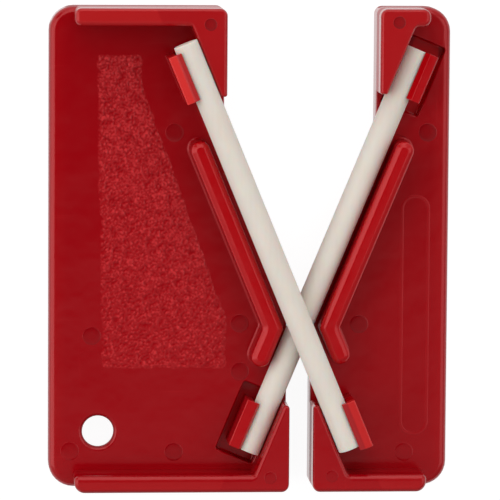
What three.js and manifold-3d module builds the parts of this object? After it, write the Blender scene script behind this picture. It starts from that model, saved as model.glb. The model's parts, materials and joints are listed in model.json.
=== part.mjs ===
// Pocket knife sharpener: two moulded halves that two crossed ceramic rods hold together.
// Millimetres, +Z up. It lies on its back: +Y is up the V, +Z points out of the open front.
import * as THREE from 'three';
import { mergeVertices } from 'three/addons/utils/BufferGeometryUtils.js';
import Module from 'manifold-3d';

// Ceramic rods
const ROD_DIAMETER = 4.76;
const ROD_LENGTH = 84.5;
const ROD_BELOW = 26.05; // length of a rod below the crossing
const ROD_LEAN = THREE.MathUtils.degToRad(22.5); // lean of each rod from the centre line
const ROD_CHAMFER = 0.25;
const ROD_GAP = 0.3; // between the two rods where they cross
const FRONT_ROD_SLIDE = 1.0; // how far the front rod sits up its seats
const REAR_ROD_SLIDE = -0.3;

// Floor, rim behind it and outline
const RIM_HEIGHT = 5.2; // back of the rim to the front of the floor
const RIM_THICKNESS = 1.8;
const FLOOR_THICKNESS = 1.6;
const FLOOR_EDGE = 1.0; // rounding of the floor's outer front edge
const INNER_EDGE = 0.3; // rounding of the floor's front edge along the V
const OUTER_CORNER = 4.76;
const INNER_CORNER = 1.5;
const GRIP_EXTRA = 19.4; // how much further the grip half reaches
const V_SETBACK = 1.4; // floor's edge behind the rod's working side

// Walls and the wedge blocks that the rods bear on
const WALL_THICKNESS = 3.4;
const WALL_EDGE = 0.4;
const END_ROOM = 3.35; // between a rod's nominal end and the wall
const BLOCK_RISE = 0.7; // blocks above the front rod's axis
const TIP_WIDTH = 1.1;
const TIP_LEAD = 1.2; // wedge tip past the hook's inner end
const TIP_ROUND = 0.45;
const WEDGE_FILLET = 1.0; // between a wall and its wedge

// Snap seats
const ROD_CLEARANCE = 0.2;
const HOOK_LENGTH = 9.65;
const HOOK_THICKNESS = 1.55;
const HOOK_OVERHANG = 0.88; // how far the lip covers the rod
const HOOK_RISE = 3.1; // top of a hook above the rod's axis
const LIP_LEAD_IN = 0.65; // drop of the lip's sloped top
const LIP_NOSE = 0.25;
const LIP_ROOT = 1.2; // where the lip's underside leaves the stem, above the axis
const HOOK_CHAMFER = 0.25;
const ROD_OVERHANG = 0.2; // rod's nominal end past a hook's end
const LEDGE_REACH = 3.5; // ledge under the front rod, out from its block
const LEDGE_INSET = 1.2;
const POCKET_DEPTH = 2.6;
const POCKET_SKIN = 1.2;
const POCKET_MARGIN = 2.05; // pocket past a hook's two ends
const POCKET_SLOT = 1.37; // pocket outside a hook's back
const POCKET_EDGE = 0.95; // from the pocket's far corner to the narrow half's side

// Guard ribs
const RIB_GAP = 0.85;
const RIB_WIDTH = 3.6;
const RIB_DROP = 1.2; // below the blocks' tops
const RIB_EDGE = 1.2;
const RIB_FILLET = 0.7;
const RIB_END = 1.7;
const RIB_BEND = 1.4;
const RIB_HEAD_GAP = 8.1; // from the upper hook to the rib's head
const RIB_FOOT_GAP = 6.8;

// Key-ring hole in the grip half
const HOLE_DIAMETER = 6.2;
const HOLE_EDGE = 0.35;
const HOLE_FROM_SIDE = 9.45;
const HOLE_FROM_FOOT = 11.1;

// How finely round shapes are divided, and how deep joined pieces run into each other
const ROD_SIDES = 48;
const HOLE_SIDES = 40;
const CORNER_STEPS = 8;
const SMALL_STEPS = 4;
const EDGE_STEPS = 4;
const SMALLEST_RADIUS = 0.05;
const JOIN = 0.4;
const CUT = 1.0;

const PLASTIC = { color: 0xa01018, roughness: 0.36, metalness: 0 };
const CERAMIC = { color: 0xddd9ce, roughness: 0.62, metalness: 0 };

// Worked-out sizes, measured from the crossing in plan and from the back of the rim in height
const SIN = Math.sin(ROD_LEAN);
const COS = Math.cos(ROD_LEAN);
const rodRadius = ROD_DIAMETER / 2;
const rodAbove = ROD_LENGTH - ROD_BELOW;
const rearAxis = RIM_HEIGHT + ROD_CLEARANCE + rodRadius;
const frontAxis = rearAxis + ROD_DIAMETER + ROD_GAP;
const wallTop = frontAxis + BLOCK_RISE;
const faceOffset = rodRadius + ROD_CLEARANCE; // rod's axis to a block's face or a hook's stem
const hookBack = faceOffset + HOOK_THICKNESS;
const topReach = rodAbove * COS + rodRadius * SIN + END_ROOM + WALL_THICKNESS;
const footReach = ROD_BELOW * COS + rodRadius * SIN + END_ROOM + WALL_THICKNESS;

// Directions of the two rods as the grip half sees them: along is down the rod, across is to the right.
const UPPER = {
  along: new THREE.Vector2(SIN, -COS),
  across: new THREE.Vector2(COS, SIN),
  hookFrom: -(rodAbove - ROD_OVERHANG),
  hookTo: -(rodAbove - ROD_OVERHANG - HOOK_LENGTH),
  inward: 1,
};
const LOWER = {
  along: new THREE.Vector2(-SIN, -COS),
  across: new THREE.Vector2(COS, -SIN),
  hookFrom: ROD_BELOW - ROD_OVERHANG - HOOK_LENGTH,
  hookTo: ROD_BELOW - ROD_OVERHANG,
  inward: -1,
};

const wasm = await Module();
wasm.setup();

// A point in plan, from its distances along and across a rod.
function planPoint(rod, along, across) {
  return rod.along.clone().multiplyScalar(along).addScaledVector(rod.across, across);
}

// Closed three.js geometry to a solid that can be joined and cut.
function solid(geometry) {
  const bare = geometry.clone();
  bare.deleteAttribute('normal');
  bare.deleteAttribute('uv');
  const merged = mergeVertices(bare, 1e-5);
  return new wasm.Manifold(new wasm.Mesh({
    numProp: 3,
    vertProperties: new Float32Array(merged.attributes.position.array),
    triVerts: new Uint32Array(merged.index.array),
  }));
}

// Solid back to a three.js geometry, mirrored left to right for the narrow half.
function toGeometry(body, mirrored) {
  const mesh = body.getMesh();
  const side = mirrored ? -1 : 1;
  const positions = Float32Array.from(mesh.vertProperties, (value, i) => (i % 3 === 0 ? side * value : value));
  const triangles = Uint32Array.from(mesh.triVerts);
  if (mirrored) {
    for (let i = 0; i < triangles.length; i += 3) {
      [triangles[i], triangles[i + 1]] = [triangles[i + 1], triangles[i]];
    }
  }
  const geometry = new THREE.BufferGeometry();
  geometry.setAttribute('position', new THREE.BufferAttribute(positions, 3));
  geometry.setIndex(new THREE.BufferAttribute(triangles, 1));
  geometry.computeVertexNormals();
  return geometry;
}

// Where two lines cross, each given by a point and a direction.
function crossing(p, d, q, e) {
  const t = ((q.x - p.x) * e.y - (q.y - p.y) * e.x) / (d.x * e.y - d.y * e.x);
  return new THREE.Vector2(p.x + d.x * t, p.y + d.y * t);
}

// Anticlockwise outline with rounded corners, its edges moved inwards by inset.
// A corner is { at, round, steps, edge }, where edge scales the inset of the edge that leaves it.
function outline(corners, inset = 0) {
  const edges = corners.map((corner, i) => {
    const next = corners[(i + 1) % corners.length];
    const along = next.at.clone().sub(corner.at).normalize();
    const inwards = new THREE.Vector2(-along.y, along.x);
    return { from: corner.at.clone().addScaledVector(inwards, inset * (corner.edge ?? 1)), along };
  });
  return corners.flatMap((corner, i) => {
    const before = edges[(i + edges.length - 1) % edges.length];
    const after = edges[i];
    const at = crossing(before.from, before.along, after.from, after.along);
    const turn = Math.atan2(before.along.cross(after.along), before.along.dot(after.along));
    const radius = Math.max(corner.round - Math.sign(turn) * inset, SMALLEST_RADIUS);
    const start = at.clone().addScaledVector(before.along, -radius * Math.tan(Math.abs(turn) / 2));
    const heading = Math.atan2(before.along.y, before.along.x);
    const side = Math.sign(turn);
    const centre = new THREE.Vector2(-Math.sin(heading), Math.cos(heading)).multiplyScalar(side * radius).add(start);
    const steps = corner.steps ?? SMALL_STEPS;
    return Array.from({ length: steps + 1 }, (_, k) => {
      const angle = heading - side * Math.PI / 2 + turn * k / steps;
      return new THREE.Vector2(Math.cos(angle), Math.sin(angle)).multiplyScalar(radius).add(centre);
    });
  });
}

// Solid through a stack of outlines with equal counts of points: rings are { points, z } from low to high.
function loft(rings) {
  const count = rings[0].points.length;
  const positions = rings.flatMap(({ points, z }) => points.flatMap((p) => [p.x, p.y, z]));
  const index = [];
  for (let ring = 0; ring + 1 < rings.length; ring++) {
    for (let i = 0; i < count; i++) {
      const a = ring * count + i;
      const b = ring * count + (i + 1) % count;
      index.push(a, b, b + count, a, b + count, a + count);
    }
  }
  const last = (rings.length - 1) * count;
  for (const [a, b, c] of THREE.ShapeUtils.triangulateShape(rings[0].points, [])) {
    index.push(a, c, b);
  }
  for (const [a, b, c] of THREE.ShapeUtils.triangulateShape(rings.at(-1).points, [])) {
    index.push(last + a, last + b, last + c);
  }
  const geometry = new THREE.BufferGeometry();
  geometry.setAttribute('position', new THREE.Float32BufferAttribute(positions, 3));
  geometry.setIndex(index);
  return solid(geometry);
}

// Straight-sided solid with a rounded top edge, and a fillet at its foot where flare is given.
function rounded(corners, low, high, edge, flare = 0, foot = low) {
  const rings = [{ points: outline(corners, -flare), z: low }];
  for (let k = 0; flare > 0 && k <= EDGE_STEPS; k++) {
    const angle = k / EDGE_STEPS * Math.PI / 2;
    rings.push({
      points: outline(corners, -flare * (1 - Math.sin(angle))),
      z: foot + flare * (1 - Math.cos(angle)),
    });
  }
  for (let k = 0; k <= EDGE_STEPS; k++) {
    const angle = k / EDGE_STEPS * Math.PI / 2;
    rings.push({
      points: outline(corners, edge * (1 - Math.cos(angle))),
      z: high - edge * (1 - Math.sin(angle)),
    });
  }
  return loft(rings);
}

// Prism of an outline between two heights.
function prism(corners, low, high, inset = 0) {
  const points = outline(corners, inset);
  return loft([{ points, z: low }, { points, z: high }]);
}

// Profile given as [across, height] pairs, carried along a rod from one distance to another.
function alongRod(rod, profile, from, to) {
  const shape = new THREE.Shape(profile.map(([across, height]) => new THREE.Vector2(across, height)));
  const geometry = new THREE.ExtrudeGeometry(shape, { depth: to - from, bevelEnabled: false });
  const across = new THREE.Vector3(rod.across.x, rod.across.y, 0);
  const along = new THREE.Vector3(rod.along.x, rod.along.y, 0);
  const place = new THREE.Matrix4().makeBasis(across, new THREE.Vector3(0, 0, 1), along);
  place.setPosition(along.clone().multiplyScalar(from));
  return solid(geometry.applyMatrix4(place));
}

// Rectangle in a rod's cross-section.
function box(acrossFrom, acrossTo, low, high) {
  return [[acrossFrom, low], [acrossTo, low], [acrossTo, high], [acrossFrom, high]];
}

// Inner end of a seat, the one nearer the crossing, and where its wedge tip lies on the block's face.
function innerEnd(rod) {
  return rod.inward > 0 ? rod.hookTo : rod.hookFrom;
}

function wedgeTip(rod) {
  return planPoint(rod, innerEnd(rod) + rod.inward * TIP_LEAD, faceOffset);
}

const mouthHalf = -wedgeTip(UPPER).x - TIP_WIDTH; // centre line to the blocks at the top
const footHalf = -wedgeTip(LOWER).x - TIP_WIDTH;
const pocketFar = planPoint(UPPER, UPPER.hookFrom - POCKET_MARGIN, -hookBack - POCKET_SLOT);
const narrowReach = POCKET_EDGE - pocketFar.x;
const gripReach = narrowReach + GRIP_EXTRA;

// Plan of a half's floor: a rounded rectangle cut back behind the rods, where edge scales the inset.
function floorCorners(reach, edge) {
  const vLine = planPoint(UPPER, 0, rodRadius - V_SETBACK);
  const up = new THREE.Vector2(0, 1);
  const low = crossing(vLine, UPPER.along, new THREE.Vector2(-footHalf, 0), up);
  const high = crossing(vLine, UPPER.along, new THREE.Vector2(-mouthHalf, 0), up);
  return [
    { at: new THREE.Vector2(-reach, -footReach), round: OUTER_CORNER, steps: CORNER_STEPS },
    { at: new THREE.Vector2(-footHalf, -footReach), round: INNER_CORNER, edge },
    { at: low, round: INNER_CORNER, edge },
    { at: high, round: INNER_CORNER, edge },
    { at: new THREE.Vector2(-mouthHalf, topReach), round: INNER_CORNER },
    { at: new THREE.Vector2(-reach, topReach), round: OUTER_CORNER, steps: CORNER_STEPS },
  ];
}

// Plan of an end wall with its wedge block, at the top or at the foot of a half.
function wallCorners(rod, reach) {
  const outer = rod === UPPER ? topReach : -footReach;
  const inner = outer - rod.inward * WALL_THICKNESS;
  const side = rod === UPPER ? -mouthHalf : -footHalf;
  const end = OUTER_CORNER - reach;
  const tip = wedgeTip(rod);
  const inside = crossing(tip, rod.along, new THREE.Vector2(0, inner), new THREE.Vector2(1, 0));
  const nose = WALL_THICKNESS / 2 - SMALLEST_RADIUS;
  const corners = [
    { at: tip, round: TIP_ROUND },
    { at: new THREE.Vector2(side, tip.y), round: TIP_ROUND },
    { at: new THREE.Vector2(side, outer), round: INNER_CORNER },
    { at: new THREE.Vector2(end, outer), round: nose },
    { at: new THREE.Vector2(end, inner), round: nose },
    { at: inside, round: WEDGE_FILLET },
  ];
  return rod === UPPER ? corners : corners.reverse();
}

// Plan of the guard rib: one leg beside each rod, bent at the crossing.
function ribCorners() {
  const near = -(rodRadius + RIB_GAP);
  const far = near - RIB_WIDTH;
  const head = innerEnd(UPPER) + RIB_HEAD_GAP;
  const foot = innerEnd(LOWER) - RIB_FOOT_GAP;
  const bend = (across) => crossing(
    planPoint(UPPER, 0, across), UPPER.along, planPoint(LOWER, 0, across), LOWER.along);
  return [
    { at: planPoint(UPPER, head, far), round: RIB_END },
    { at: bend(far), round: RIB_BEND },
    { at: planPoint(LOWER, foot, far), round: RIB_END },
    { at: planPoint(LOWER, foot, near), round: RIB_END },
    { at: bend(near), round: RIB_BEND },
    { at: planPoint(UPPER, head, near), round: RIB_END },
  ];
}

// Springy hook that snaps over a rod: a stem beside the rod and a lip with a sloped lead-in.
function hook(rod, axis, root) {
  const lip = rodRadius - HOOK_OVERHANG;
  const top = axis + HOOK_RISE;
  const nose = top - LIP_LEAD_IN;
  return alongRod(rod, [
    [-hookBack, root - JOIN],
    [-faceOffset, root - JOIN],
    [-faceOffset, axis + LIP_ROOT],
    [-lip, nose - LIP_NOSE],
    [-lip, nose],
    [-rodRadius, top],
    [HOOK_CHAMFER - hookBack, top],
    [-hookBack, top - HOOK_CHAMFER],
  ], rod.hookFrom, rod.hookTo);
}

// Ledge on a block that carries the front rod from below.
function ledge(rod) {
  const profile = box(faceOffset - LEDGE_REACH, faceOffset + JOIN, RIM_HEIGHT - JOIN,
    frontAxis - faceOffset);
  return alongRod(rod, profile, rod.hookFrom + LEDGE_INSET, rod.hookTo - LEDGE_INSET);
}

// Pocket in the floor that gives a rear rod's hook its length, grown by skin for the shell round it.
function pocket(rod, skin, low, high) {
  const profile = box(-hookBack - POCKET_SLOT - skin, faceOffset - JOIN + skin, low, high);
  return alongRod(rod, profile, rod.hookFrom - POCKET_MARGIN - skin, rod.hookTo + POCKET_MARGIN + skin);
}

// One moulded half, built as the left one: the rear rod sits in seat rear, the front rod in the other.
function moulding(reach, rear) {
  const front = rear === UPPER ? LOWER : UPPER;
  const plan = floorCorners(reach, INNER_EDGE / FLOOR_EDGE);
  const pocketFloor = RIM_HEIGHT - POCKET_DEPTH;
  const hollow = prism(floorCorners(reach, 1), -CUT, RIM_HEIGHT - FLOOR_THICKNESS, RIM_THICKNESS);
  const shell = pocket(rear, POCKET_SKIN, pocketFloor - POCKET_SKIN, RIM_HEIGHT - FLOOR_THICKNESS + JOIN)
    .intersect(prism(plan, 0, RIM_HEIGHT));
  return rounded(plan, 0, RIM_HEIGHT, FLOOR_EDGE)
    .add(rounded(wallCorners(UPPER, reach), 0, wallTop, WALL_EDGE))
    .add(rounded(wallCorners(LOWER, reach), 0, wallTop, WALL_EDGE))
    .subtract(hollow)
    .add(shell)
    .subtract(pocket(rear, 0, pocketFloor, wallTop))
    .add(rounded(ribCorners(), RIM_HEIGHT - JOIN, wallTop - RIB_DROP, RIB_EDGE, RIB_FILLET, RIM_HEIGHT))
    .add(ledge(front))
    .add(hook(front, frontAxis, RIM_HEIGHT))
    .add(hook(rear, rearAxis, pocketFloor));
}

// Key-ring hole through the grip half's floor, with its edges eased at the front.
function keyRingHole() {
  const radius = HOLE_DIAMETER / 2;
  const profile = [
    new THREE.Vector2(0, RIM_HEIGHT - FLOOR_THICKNESS - CUT),
    new THREE.Vector2(radius, RIM_HEIGHT - FLOOR_THICKNESS - CUT),
    new THREE.Vector2(radius, RIM_HEIGHT - HOLE_EDGE),
    new THREE.Vector2(radius + HOLE_EDGE + CUT, RIM_HEIGHT + CUT),
    new THREE.Vector2(0, RIM_HEIGHT + CUT),
  ];
  const geometry = new THREE.LatheGeometry(profile, HOLE_SIDES).rotateX(Math.PI / 2);
  return solid(geometry.translate(HOLE_FROM_SIDE - gripReach, HOLE_FROM_FOOT - footReach, 0));
}

// Ceramic rod with eased ends, standing along its own Y.
function rodGeometry() {
  const half = ROD_LENGTH / 2;
  return new THREE.LatheGeometry([
    new THREE.Vector2(0, -half),
    new THREE.Vector2(rodRadius - ROD_CHAMFER, -half),
    new THREE.Vector2(rodRadius, ROD_CHAMFER - half),
    new THREE.Vector2(rodRadius, half - ROD_CHAMFER),
    new THREE.Vector2(rodRadius - ROD_CHAMFER, half),
    new THREE.Vector2(0, half),
  ], ROD_SIDES);
}

// Named piece with a finish of its own.
function piece(name, geometry, finish) {
  const mesh = new THREE.Mesh(geometry, new THREE.MeshStandardMaterial(finish));
  mesh.name = name;
  return mesh;
}

// Rod in its seats: it leans from the centre line and slides along itself.
function rodPiece(name, lean, slide, axis) {
  const mesh = piece(name, rodGeometry(), CERAMIC);
  const middle = (rodAbove - ROD_BELOW) / 2 + slide;
  mesh.rotation.z = lean;
  mesh.position.set(-Math.sin(lean) * middle, COS * middle, axis);
  return mesh;
}

const gripHalf = moulding(gripReach, LOWER).subtract(keyRingHole());
const narrowHalf = moulding(narrowReach, UPPER);

const sharpener = new THREE.Group();
sharpener.add(
  piece('grip_half', toGeometry(gripHalf, false), PLASTIC),
  piece('narrow_half', toGeometry(narrowHalf, true), PLASTIC),
  rodPiece('front_rod', ROD_LEAN, FRONT_ROD_SLIDE, frontAxis),
  rodPiece('rear_rod', -ROD_LEAN, REAR_ROD_SLIDE, rearAxis),
);

// The part's origin is the middle of its footprint.
sharpener.position.set((gripReach - narrowReach) / 2, (footReach - topReach) / 2, 0);

export default sharpener;
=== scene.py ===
"""Dressed model of a pocket knife sharpener: two red moulded halves on two crossed ceramic rods.

Sizes are in millimetres, in plan from the point where the rods cross and in height from the back
of the rim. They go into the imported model's frame, in metres, when a mesh is made. Each half is
worked out as the one at the left of the crossing, and the narrow half is mirrored at the end.
"""

import json
import logging
import math
from dataclasses import dataclass, replace
from enum import Enum
from typing import Any

import bmesh
import bpy
import numpy as np
from mathutils import Matrix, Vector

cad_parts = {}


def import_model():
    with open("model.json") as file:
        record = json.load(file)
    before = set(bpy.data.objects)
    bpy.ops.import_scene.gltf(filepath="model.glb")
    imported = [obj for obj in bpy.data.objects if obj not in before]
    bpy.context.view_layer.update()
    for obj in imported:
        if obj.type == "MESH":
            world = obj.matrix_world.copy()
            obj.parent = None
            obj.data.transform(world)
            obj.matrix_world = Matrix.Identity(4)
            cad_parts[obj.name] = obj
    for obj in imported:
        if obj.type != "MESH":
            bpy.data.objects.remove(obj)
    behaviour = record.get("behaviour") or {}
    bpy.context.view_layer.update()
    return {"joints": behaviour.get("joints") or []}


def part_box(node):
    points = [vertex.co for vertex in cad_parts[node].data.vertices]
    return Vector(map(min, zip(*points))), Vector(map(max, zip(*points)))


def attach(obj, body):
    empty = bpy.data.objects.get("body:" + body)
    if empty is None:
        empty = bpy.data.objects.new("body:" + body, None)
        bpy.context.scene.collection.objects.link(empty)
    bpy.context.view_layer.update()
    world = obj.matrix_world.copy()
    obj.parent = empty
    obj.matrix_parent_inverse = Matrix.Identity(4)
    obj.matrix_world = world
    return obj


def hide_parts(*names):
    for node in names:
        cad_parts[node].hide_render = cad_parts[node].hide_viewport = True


Colour = tuple[float, float, float, float]
Place = tuple[float, float]
Triple = tuple[float, float, float]
Span = tuple[float, float]
Pair = tuple[float, float]

LOG = logging.getLogger("sharpener")
MM = 0.001
# Smallest radius of a corner, and points on the quarter circle of a rounded edge.
SMALLEST_RADIUS = 0.05
ROUND_POINTS = 7
# Rods: their radius, and how far they reach above and below the crossing.
ROD_RADIUS = 2.38
ROD_ABOVE = 58.45
ROD_BELOW = 26.05
# A form that grows from another is let into it, or sunk by a hair, and one that cuts runs past.
ROOT_DEPTH = 0.4
HAIR = 0.02
CUT_PAST = 1.0
# Faces that meet at more than this angle keep a sharp edge.
SHARP_ANGLE = math.radians(38)
# Distance in metres at which a side counts as open.
FAR_AWAY = 1.0
WHITE = (1.0, 1.0, 1.0, 1.0)


def linear(red: int, green: int, blue: int) -> Colour:
    """Linear colour for a shader from a colour as a screen shows it.

    The screen's curve is a straight line near black and a power of 2.4 above it.

    Args:
        red: Red from 0 to 255.
        green: Green from 0 to 255.
        blue: Blue from 0 to 255.

    Returns:
        Linear red, green and blue with an alpha of 1.
    """
    shown = np.array([red, green, blue]) / 255
    light = np.where(shown <= 0.04045, shown / 12.92, ((shown + 0.055) / 1.055) ** 2.4)
    return (*light.tolist(), 1.0)


def grey(level: float) -> Colour:
    """Linear grey with an alpha of 1."""
    return (level, level, level, 1.0)


def quarter_turn(count: int) -> np.ndarray:
    """Evenly spaced angles from 0 to a right angle, both counted."""
    return np.linspace(0, np.pi / 2, count)


def full_turn(count: int) -> np.ndarray:
    """Evenly spaced angles once round, with the start counted once."""
    return np.linspace(0, 2 * np.pi, count, endpoint=False)


def lifted(plan: np.ndarray, heights: np.ndarray) -> np.ndarray:
    """Gives each ring of points in plan its height.

    Args:
        plan: Points as an array of rings by points by 2.
        heights: One height for each ring.

    Returns:
        Points as an array of rings by points by 3.
    """
    levels = np.broadcast_to(heights[:, None, None], (*plan.shape[:2], 1))
    return np.concatenate([plan, levels], axis=-1)


def lines_meet(p: np.ndarray, d: np.ndarray, q: np.ndarray, e: np.ndarray) -> np.ndarray:
    """Point where the line through p along d meets the line through q along e."""
    gap = q - p
    return p + d * (gap[0] * e[1] - gap[1] * e[0]) / (d[0] * e[1] - d[1] * e[0])


class Seat(Enum):
    """Place where a half holds a rod; the value is the side the rod leans to on its way down."""

    UPPER = 1
    LOWER = -1


class Joining(Enum):
    """How a form is put together with the body it meets."""

    ADD = "UNION"
    CUT = "DIFFERENCE"


class PointValue(Enum):
    """Values that a moulding keeps at its points for its finish."""

    GRAIN_AND_SHEEN = "grain"
    MARKS_AND_SHADE = "pressed"


@dataclass(frozen=True)
class Layout:
    """Where the rods cross and how they lie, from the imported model's joints."""

    crossing: Place
    lean: float
    front_axis: float
    rear_axis: float

    @classmethod
    def from_joints(cls, joints: list[dict[str, Any]]) -> "Layout":
        """Reads the crossing, the lean and the two axis heights.

        Args:
            joints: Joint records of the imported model.

        Returns:
            The layout in millimetres and radians.
        """
        by_child = {joint["child"]: joint for joint in joints}
        front = by_child["front_rod"]
        rear = by_child["rear_rod"]
        x, y, front_axis = (value / MM for value in front["pos_m"])
        lean = math.atan2(-front["axis"][0], front["axis"][1])
        return cls((x, y), lean, front_axis, rear["pos_m"][2] / MM)

    def along(self, seat: Seat) -> np.ndarray:
        """Direction down the rod in a seat, in plan."""
        return np.array([seat.value * math.sin(self.lean), -math.cos(self.lean)])

    def across(self, seat: Seat) -> np.ndarray:
        """Direction to the right of the rod in a seat, in plan."""
        return np.array([math.cos(self.lean), seat.value * math.sin(self.lean)])

    def point(self, seat: Seat, along: float, across: float) -> np.ndarray:
        """Point in plan at distances from the crossing, along and across the rod in a seat."""
        return along * self.along(seat) + across * self.across(seat)


@dataclass
class Form:
    """Closed surface in millimetres: its points, and its faces anticlockwise from outside."""

    points: np.ndarray
    faces: list[list[int]]

    @classmethod
    def stack(cls, rings: np.ndarray) -> "Form":
        """Skins a stack of rings and closes both ends with flat faces.

        Ring m joins ring m + 1 by one quad per point, and the end rings are faces themselves.

        Args:
            rings: Points as an array of rings by points by 3, anticlockwise seen from the last.

        Returns:
            The closed form.
        """
        layers, count, _ = rings.shape
        index = np.arange(layers * count).reshape(layers, count)
        after = np.roll(index, -1, axis=1)
        quads = np.stack([index[:-1], after[:-1], after[1:], index[1:]], axis=-1).reshape(-1, 4)
        caps = [index[0, ::-1].tolist(), index[-1].tolist()]
        return cls(rings.reshape(-1, 3), quads.tolist() + caps)

    @classmethod
    def loop(cls, rings: np.ndarray) -> "Form":
        """Skins a ring of rings that closes on itself both ways, as a torus does.

        Args:
            rings: Points as an array of rings by points by 3; the last ring joins the first.

        Returns:
            The closed form.
        """
        layers, count, _ = rings.shape
        index = np.arange(layers * count).reshape(layers, count)
        after = np.roll(index, -1, axis=1)
        above = np.roll(index, -1, axis=0)
        corners = [index, after, np.roll(above, -1, axis=1), above]
        return cls(rings.reshape(-1, 3), np.stack(corners, axis=-1).reshape(-1, 4).tolist())

    def mesh(self, name: str, layout: Layout) -> bpy.types.Mesh:
        """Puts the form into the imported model's frame as a mesh in metres.

        Args:
            name: Name of the mesh.
            layout: Layout that holds the crossing.

        Returns:
            The new mesh.
        """
        shift = np.array([*layout.crossing, 0.0])
        made = bpy.data.meshes.new(name)
        made.from_pydata((self.points + shift) * MM, [], self.faces)
        made.update()
        return made


@dataclass(frozen=True)
class Corner:
    """Corner of an outline with its rounding.

    The two shares say how far the edge that leaves it follows an inset, and a flare.
    """

    at: Place
    round: float = SMALLEST_RADIUS
    edge: float = 1.0
    flare: float = 1.0


@dataclass(frozen=True)
class Outline:
    """Anticlockwise outline whose rounded corners are arcs of a number of steps."""

    corners: list[Corner]
    steps: int = 8

    def rings(self, insets: np.ndarray) -> np.ndarray:
        """Points of the outline, one ring for each inset.

        Each edge moves along its inward normal by the inset times its share. A corner lies where
        two moved edges cross, and an arc replaces it whose radius is the corner's rounding less
        the inset, or plus it in a hollow corner. A negative inset is a flare with its own shares.

        Args:
            insets: One inset for each ring.

        Returns:
            Points as an array of rings by points by 2.
        """
        at = np.array([corner.at for corner in self.corners])
        rounding = np.array([corner.round for corner in self.corners])
        edge = np.array([corner.edge for corner in self.corners])
        flare = np.array([corner.flare for corner in self.corners])
        along = np.roll(at, -1, axis=0) - at
        along /= np.linalg.norm(along, axis=1, keepdims=True)
        before = np.roll(along, 1, axis=0)
        inward = np.stack([-along[:, 1], along[:, 0]], axis=1)
        move = insets[:, None] * np.where(insets[:, None] < 0, flare, edge)
        start = at + move[..., None] * inward
        origin = np.roll(start, 1, axis=1)
        gap = start - origin
        bend = before[:, 0] * along[:, 1] - before[:, 1] * along[:, 0]
        reach = (gap[..., 0] * along[:, 1] - gap[..., 1] * along[:, 0]) / bend
        corner = origin + reach[..., None] * before
        turn = np.arctan2(bend, (before * along).sum(axis=1))
        side = np.sign(turn)
        radius = np.maximum(rounding - side * insets[:, None], SMALLEST_RADIUS)
        first = corner - (radius * np.tan(np.abs(turn) / 2))[..., None] * before
        left = np.stack([-before[:, 1], before[:, 0]], axis=1)
        centre = first + (side * radius)[..., None] * left
        heading = np.arctan2(before[:, 1], before[:, 0])
        shares = np.linspace(0, 1, self.steps + 1)
        angle = (heading - side * np.pi / 2)[:, None] + turn[:, None] * shares
        arc = np.stack([np.cos(angle), np.sin(angle)], axis=-1)
        points = centre[:, :, None, :] + radius[:, :, None, None] * arc
        return points.reshape(len(insets), -1, 2)

    def raised(self, sides: np.ndarray) -> Form:
        """Solid over the outline from its side's section, insets and heights from low to high."""
        return Form.stack(lifted(self.rings(sides[:, 0]), sides[:, 1]))

    def ridge(self, width: float, height: float, base: float, sides: int = 12) -> Form:
        """Low rounded ridge that follows the outline.

        Its section is an ellipse, width across and twice the height through, centred on the base.

        Args:
            width: Full width.
            height: How far it stands above the base.
            base: Height of the surface it stands on.
            sides: Points round its section.

        Returns:
            The closed form.
        """
        turn = full_turn(sides)
        rings = self.rings(-width / 2 * np.cos(turn))
        return Form.loop(lifted(rings, base - height * np.sin(turn)))

    def carried(
        self, layout: Layout, seat: Seat, span: Span, ease: float, points: int = 4
    ) -> Form:
        """Section given across and above a rod, carried along it with eased ends.

        The section shrinks by ease times (1 - sin t) over quarter circles at both ends.

        Args:
            layout: Layout of the rods.
            seat: Seat whose rod is followed.
            span: Where it starts and ends along the rod.
            ease: Rounding of the edges at both ends.
            points: Points on each quarter circle.

        Returns:
            The closed form.
        """
        turn = quarter_turn(points)
        inset = ease * (1 - np.sin(turn))
        place = ease * (1 - np.cos(turn))
        places = np.concatenate([span[0] + place, span[1] - place[::-1]])
        rings = self.rings(np.concatenate([inset, inset[::-1]]))
        plan = rings[..., :1] * layout.across(seat) + places[:, None, None] * layout.along(seat)
        return Form.stack(np.concatenate([plan, rings[..., 1:]], axis=-1))


def side_section(
    low: float,
    high: float,
    edge: float,
    flare: float = 0.0,
    foot: float = 0.0,
    back: float = 0.0,
    shift: float = 0.0,
    drop: float | None = None,
    bevel: float = 1.0,
) -> np.ndarray:
    """Section of a straight side as insets and heights.

    Quarter circles make the roundings: back * (1 - sin t) at the bottom edge, -flare * (1 - sin t)
    at the foot and edge * (1 - cos t) at the top edge. A bevel above 1 is a power of cos t and
    sin t that flattens the top rounding.

    Args:
        low: Height of the bottom.
        high: Height of the top.
        edge: Rounding of the top edge.
        flare: Radius of the fillet at the foot, or 0.
        foot: Height of the surface that the fillet runs into.
        back: Rounding of the bottom edge, or 0.
        shift: Inset of the straight side itself.
        drop: Height of the top rounding, or None for its width.
        bevel: How flat the top rounding is, 1 for a round one.

    Returns:
        Array of insets and heights from low to high.
    """
    turn = quarter_turn(ROUND_POINTS)
    inward, upward = 1 - np.sin(turn), 1 - np.cos(turn)
    parts = [np.array([[-flare, low]])]
    if back > 0:
        parts = [np.stack([back * inward, low + back * upward], axis=1)]
    if flare > 0:
        parts.append(np.stack([-flare * inward, foot + flare * upward], axis=1))
    level, upright = np.sin(turn) ** bevel, np.maximum(np.cos(turn), 0) ** bevel
    parts.append(np.stack([edge * (1 - upright), high - (drop or edge) * (1 - level)], axis=1))
    section = np.concatenate(parts)
    section[:, 0] += shift
    return section


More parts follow.
